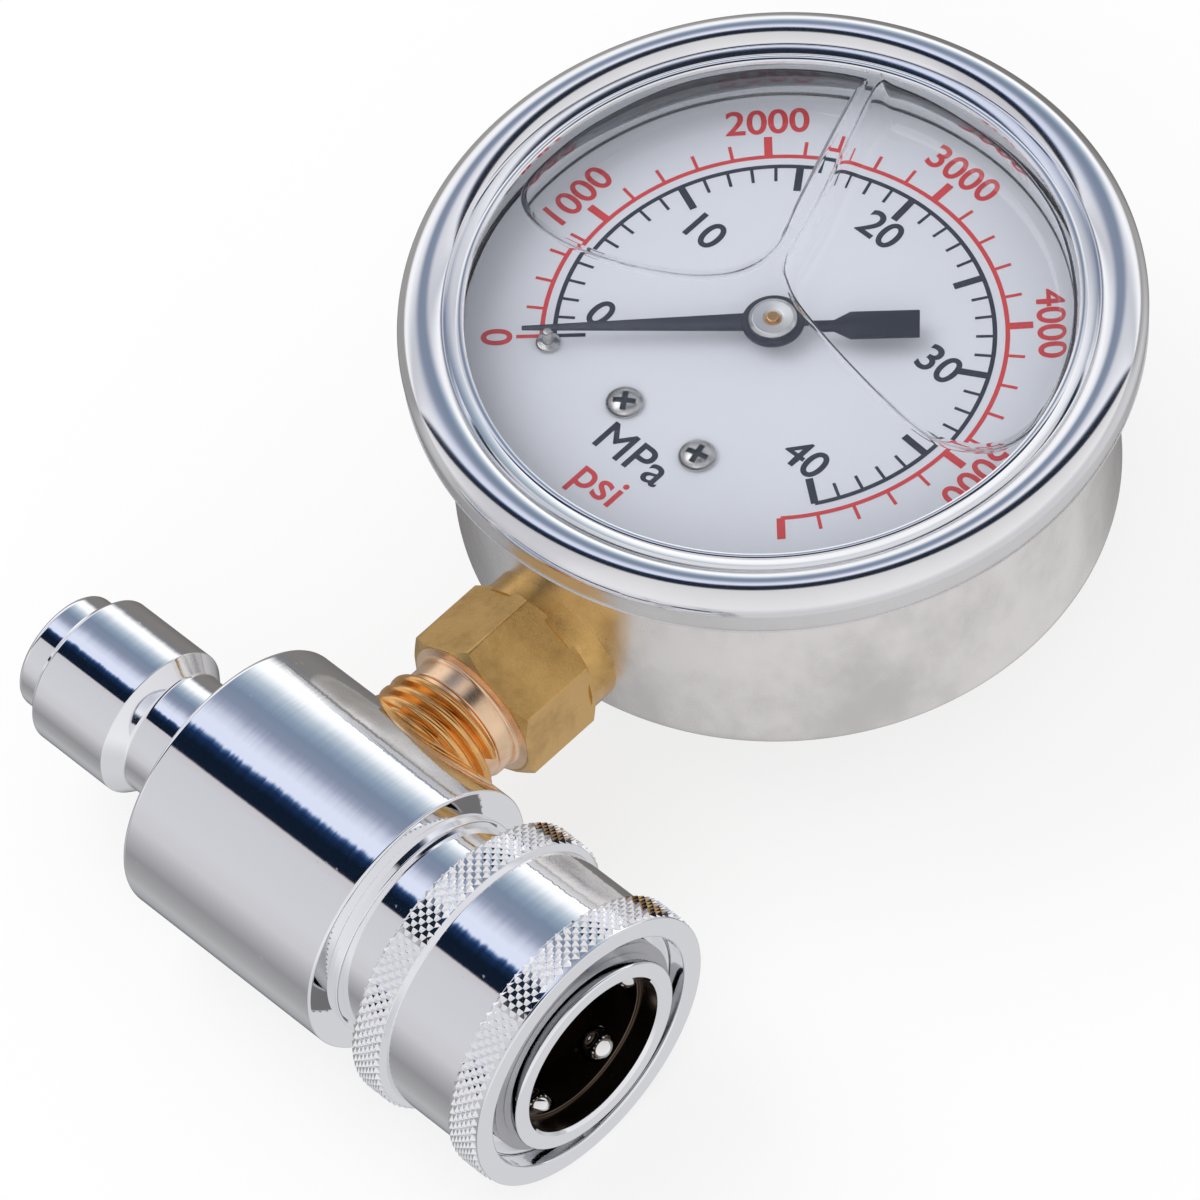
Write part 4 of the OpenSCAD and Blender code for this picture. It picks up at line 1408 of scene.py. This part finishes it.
@dataclass
class Coupler:
    """The coupler tube, its balls, seal and spring, and the knurled sleeve."""

    root_x: float = 6.9
    root_r: float = 9.0
    collar_x: float = 13.4
    collar_r: float = 10.7
    bore_x: float = 18.7
    mouth: float = 34.2
    tube_r: float = 9.8
    bore_r: float = 7.7
    lead_r: float = 8.05
    lead_l: float = 2.4
    flow_r: float = 3.5
    ball_r: float = 1.6
    ball_hole_r: float = 1.66
    ball_x: float = 29.9
    ball_out: float = 8.4
    ball_names: Sequence[str] = ("one", "two", "three", "four", "five", "six")
    ring_groove_x: float = 31.65
    seal_x: float = 24.6
    seal_r: float = 7.9
    seal_groove_r: float = 8.9
    sleeve_back: float = 18.0
    sleeve_front: float = 33.5
    sleeve_r: float = 11.0
    band_r: float = 14.2
    band_l: float = 3.3
    knurl_depth: float = 0.34
    waist_r: float = 13.2
    recess_r: float = 12.0
    recess_x: float = 31.4
    spring: Point = (19.0, 27.9)
    spring_r: float = 10.4
    wire_r: float = 0.4
    coils: float = 4.0
    travel: float = 4.0
    columns: int = 84
    rows: int = 6

    def build(self) -> None:
        """Builds the tube, the small pieces, the spring and the sleeve."""
        self.build_tube()
        self.build_small()
        self.build_spring()
        self.build_sleeve()

    def build_tube(self) -> None:
        """Builds the tube with its bore, lead-in, seal groove and ball holes."""
        m, t, bore, lead, seal = self.mouth, self.tube_r, self.bore_r, self.lead_r, self.seal_x
        start, groove = self.spring[0], self.ring_groove_x
        outline = rounded([
            (self.flow_r, self.root_x, 0), (self.root_r, self.root_x, 0), (self.root_r, self.collar_x, 0),
            (self.collar_r, self.collar_x, 0), (self.collar_r, start, 0.2),
            (t, start, 0), (t, groove, 0), (t - 0.4, groove, 0), (t - 0.4, groove + 0.9, 0),
            (t, groove + 0.9, 0.05), (t, m, 0.3), (lead + 0.3, m, 0.12), (lead, m - 0.3, 0.1),
            (lead, m - self.lead_l, 0.05), (bore, m - self.lead_l, 0.1), (bore, seal + 1, 0.05),
            (self.seal_groove_r, seal + 1, 0), (self.seal_groove_r, seal - 1, 0),
            (bore, seal - 1, 0.05), (bore, self.bore_x + 1.5, 0.1), (self.flow_r, self.bore_x, 0.1)])
        tube = lathe("tube", outline, Axis.FLOW, 256)
        drill = [(0, 6), (self.ball_hole_r, 6), (self.ball_hole_r, 12), (0, 12)]
        holes = [lathe("hole", drill, Axis.FLOW, 48, self.at_ball(k, 0)) for k in range(6)]
        piece = dressed("coupler_turned", combined(tube, joined("holes", holes), Cut.AWAY), Finish.CHROME)
        # The faces inside the bore take the dark finish: painted shade in the bore.
        tint(piece, Finish.BORE, Axis.FLOW, lambda at: at.xy.length < lead + 0.03 and 18 < at.z < m - 0.32)
        ride(piece, "chrome", "coupler_tube")

    def at_ball(self, index: int, out: float) -> Matrix:
        """Places a ball or its hole, with Z away from the flow axis.

        Args:
            index: The ball's number, from 0.
            out: How far from the flow axis, in millimetres.

        Returns:
            The matrix.
        """
        spin = Matrix.Rotation(math.radians(60 * (index - 1)), 4, "Z")
        outwards = Matrix.Rotation(math.pi / 2, 4, "Y") @ Matrix.Translation((0, 0, out))
        return spin @ Matrix.Translation((0, 0, self.ball_x)) @ outwards

    def build_small(self) -> None:
        """Builds the balls and the seal."""
        r = self.ball_r
        arc = [(r * math.sin(math.pi * i / 24), -r * math.cos(math.pi * i / 24)) for i in range(1, 24)]
        outline = [(0, -r), *arc, (0, r)]
        for k, name in enumerate(self.ball_names):
            ball = turned(f"locking_ball_{k + 1}", outline, Axis.FLOW, 48, Finish.BALL,
                          self.at_ball(k, self.ball_out), 60)
            ride(ball, "steel_polished", f"ball_{k + 1}", body=f"ball_{name}")
        seal = [(self.seal_r + math.cos(math.tau * i / 24), self.seal_x + math.sin(math.tau * i / 24))
                for i in range(24)]
        ride(turned("seal", seal, Axis.FLOW, 128, Finish.RUBBER, angle=60), "black_rubber", "coupler_seal")

    def build_spring(self) -> None:
        """Builds the sleeve's spring as a fixed coil with a mesh of its own."""
        start, end = self.spring
        low, high = start + self.wire_r, end - self.wire_r
        steps, width = int(self.coils * 48), 10
        verts: list[Corner] = []
        for u in range(steps + 1):
            a, x = math.tau * self.coils * u / steps, low + (high - low) * u / steps
            for t in (math.tau * j / width for j in range(width)):
                r = self.spring_r + self.wire_r * math.cos(t)
                verts.append((r * math.cos(a), r * math.sin(a), x + self.wire_r * math.sin(t)))
        mesh = mesh_from("spring", verts, swept_faces(steps, width), Axis.FLOW.matrix())
        piece = ride(dressed("spring", mesh, Finish.SPRING, 50), "steel_satin", "sleeve_spring")
        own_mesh(piece)

    def build_sleeve(self) -> None:
        """Builds the sleeve with its waist, recess and two knurled bands."""
        root, waist, r = self.band_r - self.knurl_depth, self.waist_r, self.sleeve_r
        back, front, band, end = self.sleeve_back, self.sleeve_front, self.band_l, self.spring[1]
        outline = rounded([
            (r, back, 0.2), (root, back, 0.25), (root, back + band, 0.1), (waist, back + band + 0.25, 0.1),
            (waist, front - band - 0.6, 0.1), (root, front - band - 0.35, 0.1), (root, front - 0.35, 0.02),
            (self.band_r - 0.2, front - 0.3, 0.05), (self.band_r - 0.18, front, 0.16),
            (self.recess_r, front, 0.25), (self.recess_r, self.recess_x, 0.3), (10.53, self.recess_x, 0.05),
            (9.9, end + 1, 0), (9.9, end, 0), (r, end, 0)])
        piece = turned("sleeve_turned", outline, Axis.FLOW, 320, Finish.CHROME)
        ride(piece, "chrome", "sleeve", body="sleeve")
        pattern = knurl_pattern()
        bands = [pattern.make("knurl", {
            "Columns": self.columns, "Rows": self.rows, "Start": start * MM,
            "Row Pitch": (band - 0.35) / self.rows * MM, "Root Radius": root * MM,
            "Height": (self.band_r - root) * MM, "Flat": 0.1, "Finish": Finish.CHROME.material})
            for start in (back + 0.18, front - band - 0.35 + 0.12)]
        piece = dressed("sleeve_knurl", joined("sleeve_knurl", bands), Finish.CHROME, 1)
        ride(piece, "chrome", "sleeve", body="sleeve")


# ---------------------------------------------------------------- studio


@dataclass
class Studio:
    """The camera at the photograph's angle, the floor, the lamps and what the metal reflects.

    The stops are angles round X in degrees with the colour that is reflected from there: `stops` for the
    pieces that are turned round X, and `bright_stops` for directions that lean away from theirs.
    """

    place: Corner = (0.43241, -0.36858, 0.79528)
    azimuth: float = 49.875
    elevation: float = 54.105
    roll: float = 7.326
    lens: float = 321.75
    soft_light: float = 0.80
    floor_colour: Colour = (0.93, 0.93, 0.93)
    floor_share: float = 0.75
    lamps: Sequence[tuple[str, Corner, float, float]] = (
        ("key_lamp", (-0.55, -0.15, 0.85), 0.7, 3.2), ("fill_lamp", (0.5, -0.7, 0.6), 0.7, 1.6))
    chrome_x: float = 0.448
    chrome_span: Point = (0.10, 0.34)
    shear: float = 1.0
    side_card: Colour = (0.66, 0.66, 0.68)
    side_x: Point = (-0.2, 0.35)
    side_z: Point = (-0.5, 0.0)
    bright_stops: Sequence[Stop] = (
        (0, 0.40, 0.40, 0.42), (12, 0.95, 0.95, 0.97), (30, 1.05, 1.05, 1.08), (45, 0.86, 0.88, 0.94),
        (60, 0.60, 0.61, 0.67), (75, 0.72, 0.73, 0.79), (91, 0.94, 0.95, 1.00), (97, 0.22, 0.24, 0.32),
        (101, 0.012, 0.022, 0.045), (120, 0.008, 0.012, 0.022), (124, 0.72, 0.71, 0.73),
        (180, 0.86, 0.86, 0.88), (215, 0.55, 0.55, 0.57), (250, 0.58, 0.58, 0.59), (290, 0.34, 0.34, 0.35),
        (340, 0.36, 0.35, 0.34))
    stops: Sequence[Stop] = (
        (0, 0.20, 0.20, 0.22), (6, 0.24, 0.24, 0.26), (12, 0.85, 0.85, 0.85), (17, 1.25, 1.25, 1.25),
        (28, 1.0, 1.02, 1.06), (37, 0.52, 0.60, 0.68), (46, 0.29, 0.37, 0.48), (55, 0.20, 0.26, 0.36),
        (66, 0.24, 0.28, 0.38), (72, 0.34, 0.38, 0.50), (78, 0.58, 0.62, 0.76), (86, 0.76, 0.80, 0.96),
        (96, 0.74, 0.80, 0.96), (98.5, 0.05, 0.12, 0.30), (101, 0.010, 0.028, 0.085),
        (108, 0.004, 0.010, 0.024), (119.6, 0.005, 0.011, 0.026), (120.6, 0.60, 0.58, 0.60),
        (130, 0.63, 0.63, 0.67), (170, 0.66, 0.66, 0.69), (190, 0.62, 0.61, 0.63), (205, 0.44, 0.44, 0.46),
        (221, 0.30, 0.295, 0.31), (240, 0.38, 0.38, 0.39), (253, 0.46, 0.46, 0.47), (268, 0.38, 0.39, 0.41),
        (285, 0.17, 0.17, 0.175), (315, 0.18, 0.17, 0.165), (340, 0.22, 0.21, 0.20))

    def build(self) -> None:
        """Builds the camera, the world, the lamps and the floor."""
        bpy.context.scene.view_settings.view_transform = "Standard"
        self.build_camera()
        self.build_world()
        for name, place, size, power in self.lamps:
            self.build_lamp(name, place, size, power)
        self.build_floor()

    def build_camera(self) -> None:
        """Adds the camera and makes it the scene's own."""
        az, el, roll = (math.radians(a) for a in (self.azimuth, self.elevation, self.roll))
        back = Vector((math.sin(az) * math.cos(el), -math.cos(az) * math.cos(el), math.sin(el)))
        level = Vector((math.cos(az), math.sin(az), 0))
        right = math.cos(roll) * level + math.sin(roll) * (-back).cross(level)
        data = bpy.data.cameras.new("photo_camera")
        data.lens, data.sensor_width = self.lens, 36
        data.clip_start, data.clip_end = 0.01, 20
        camera = linked("photo_camera", data)
        turn = Matrix((right, back.cross(right), back)).transposed().to_4x4()
        camera.matrix_world = Matrix.Translation(Vector(self.place)) @ turn
        bpy.context.scene.camera = camera

    def build_world(self) -> None:
        """Makes the world white for the camera, plain for soft light and banded round X for reflections."""
        world = bpy.data.worlds.new("studio")
        bpy.context.scene.world = world
        world.use_nodes = True
        world.node_tree.nodes.clear()
        g = Graph(world.node_tree)
        parts = g.node("SeparateXYZ", None, g.node("TexCoord", out="Generated"))
        x, y, z = (parts.output(key) for key in "XYZ")
        angle = (z.math("ARCTAN2", y - (x + self.chrome_x) * self.shear) / math.tau).math("FRACT")
        banded, bright = (g.node("ValToRGB", {"stops": stops}, angle)
                          for stops in (self.stops, self.bright_stops))
        ramp = g.mix((x + self.chrome_x).math("ABSOLUTE").between(*self.chrome_span), banded, bright)
        low_side = x.between(*self.side_x) * (1 - z.between(*self.side_z))
        ramp = g.mix(low_side, ramp, self.side_card)
        path = g.node("LightPath")
        seen = g.node("Background", None, (1, 1, 1), 1.0)
        plain = g.node("Background", None, (1, 1, 1), self.soft_light)
        mirror = g.node("Background", None, ramp, 1.0)
        shader = g.node("MixShader", None, path.output("Is Glossy Ray"), plain, mirror)
        g.node("OutputWorld", Surface=g.node("MixShader", None, path.output("Is Camera Ray"), shader, seen))

    def build_lamp(self, name: str, place: Corner, size: float, power: float) -> None:
        """Adds a soft square lamp that looks at the object and shows in no reflection.

        Args:
            name: The lamp's name.
            place: Where it stands, in metres.
            size: Its width, in metres.
            power: Its power, in watts.
        """
        data = bpy.data.lights.new(name, "AREA")
        data.shape, data.size, data.energy = "SQUARE", size, power
        lamp = linked(name, data)
        turn = (Vector(place) - Vector((0, 0, 0.02))).to_track_quat("Z", "Y")
        lamp.matrix_world = Matrix.Translation(Vector(place)) @ turn.to_matrix().to_4x4()
        lamp.visible_glossy = False

    def build_floor(self) -> None:
        """Adds the pale floor, which keeps the object's shadow and leaves the reflections to the world."""
        s = Surface("floor_pale")
        soft = s.node("BsdfDiffuse", Color=self.floor_colour)
        seen = s.node("Emission", None, (1, 1, 1), 1.0)
        factor = s.node("LightPath").output("Is Camera Ray") * self.floor_share
        material = s.end(s.node("MixShader", None, factor, soft, seen))
        half = 4000
        mesh = mesh_from("floor", [(-half, -half, 0), (half, -half, 0), (half, half, 0), (-half, half, 0)],
                         [[0, 1, 2, 3]], Matrix())
        floor = linked("floor", upwards(mesh))
        mesh.materials.append(material)
        floor.visible_glossy = False


# The nodes that no dressed piece stands for keep their own mesh and get these finishes.
PLAIN_NODES = {
    "movement_back": Finish.BRASS, "movement_front": Finish.BRASS, "movement_pillars": Finish.BRASS,
    "pressure_tube": Finish.THREAD, "stem_block": Finish.BRASS, "retaining_ring": Finish.SPRING,
}


def dress_nodes() -> None:
    """Gives a finish to the nodes that no dressed piece stands for."""
    for piece in bpy.data.objects:
        if piece.type == "MESH" and piece.name in PLAIN_NODES:
            finish = PLAIN_NODES[piece.name].material
            for slot in piece.material_slots:
                slot.material = finish
            if not piece.material_slots:
                piece.data.materials.append(finish)
            LOG.info("%s dressed", piece.name)


def main() -> None:
    """Builds the studio and every piece of the gauge."""
    logging.basicConfig(level=logging.INFO, format="%(name)s: %(message)s")
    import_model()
    Studio().build()
    dress_nodes()
    for part in (GaugeCase(), Liquid(), Dial(), Pointer(), Stem(), Manifold(), Coupler()):
        part.build()
        LOG.info("%s built", type(part).__name__)


if __name__ == "__main__":
    main()
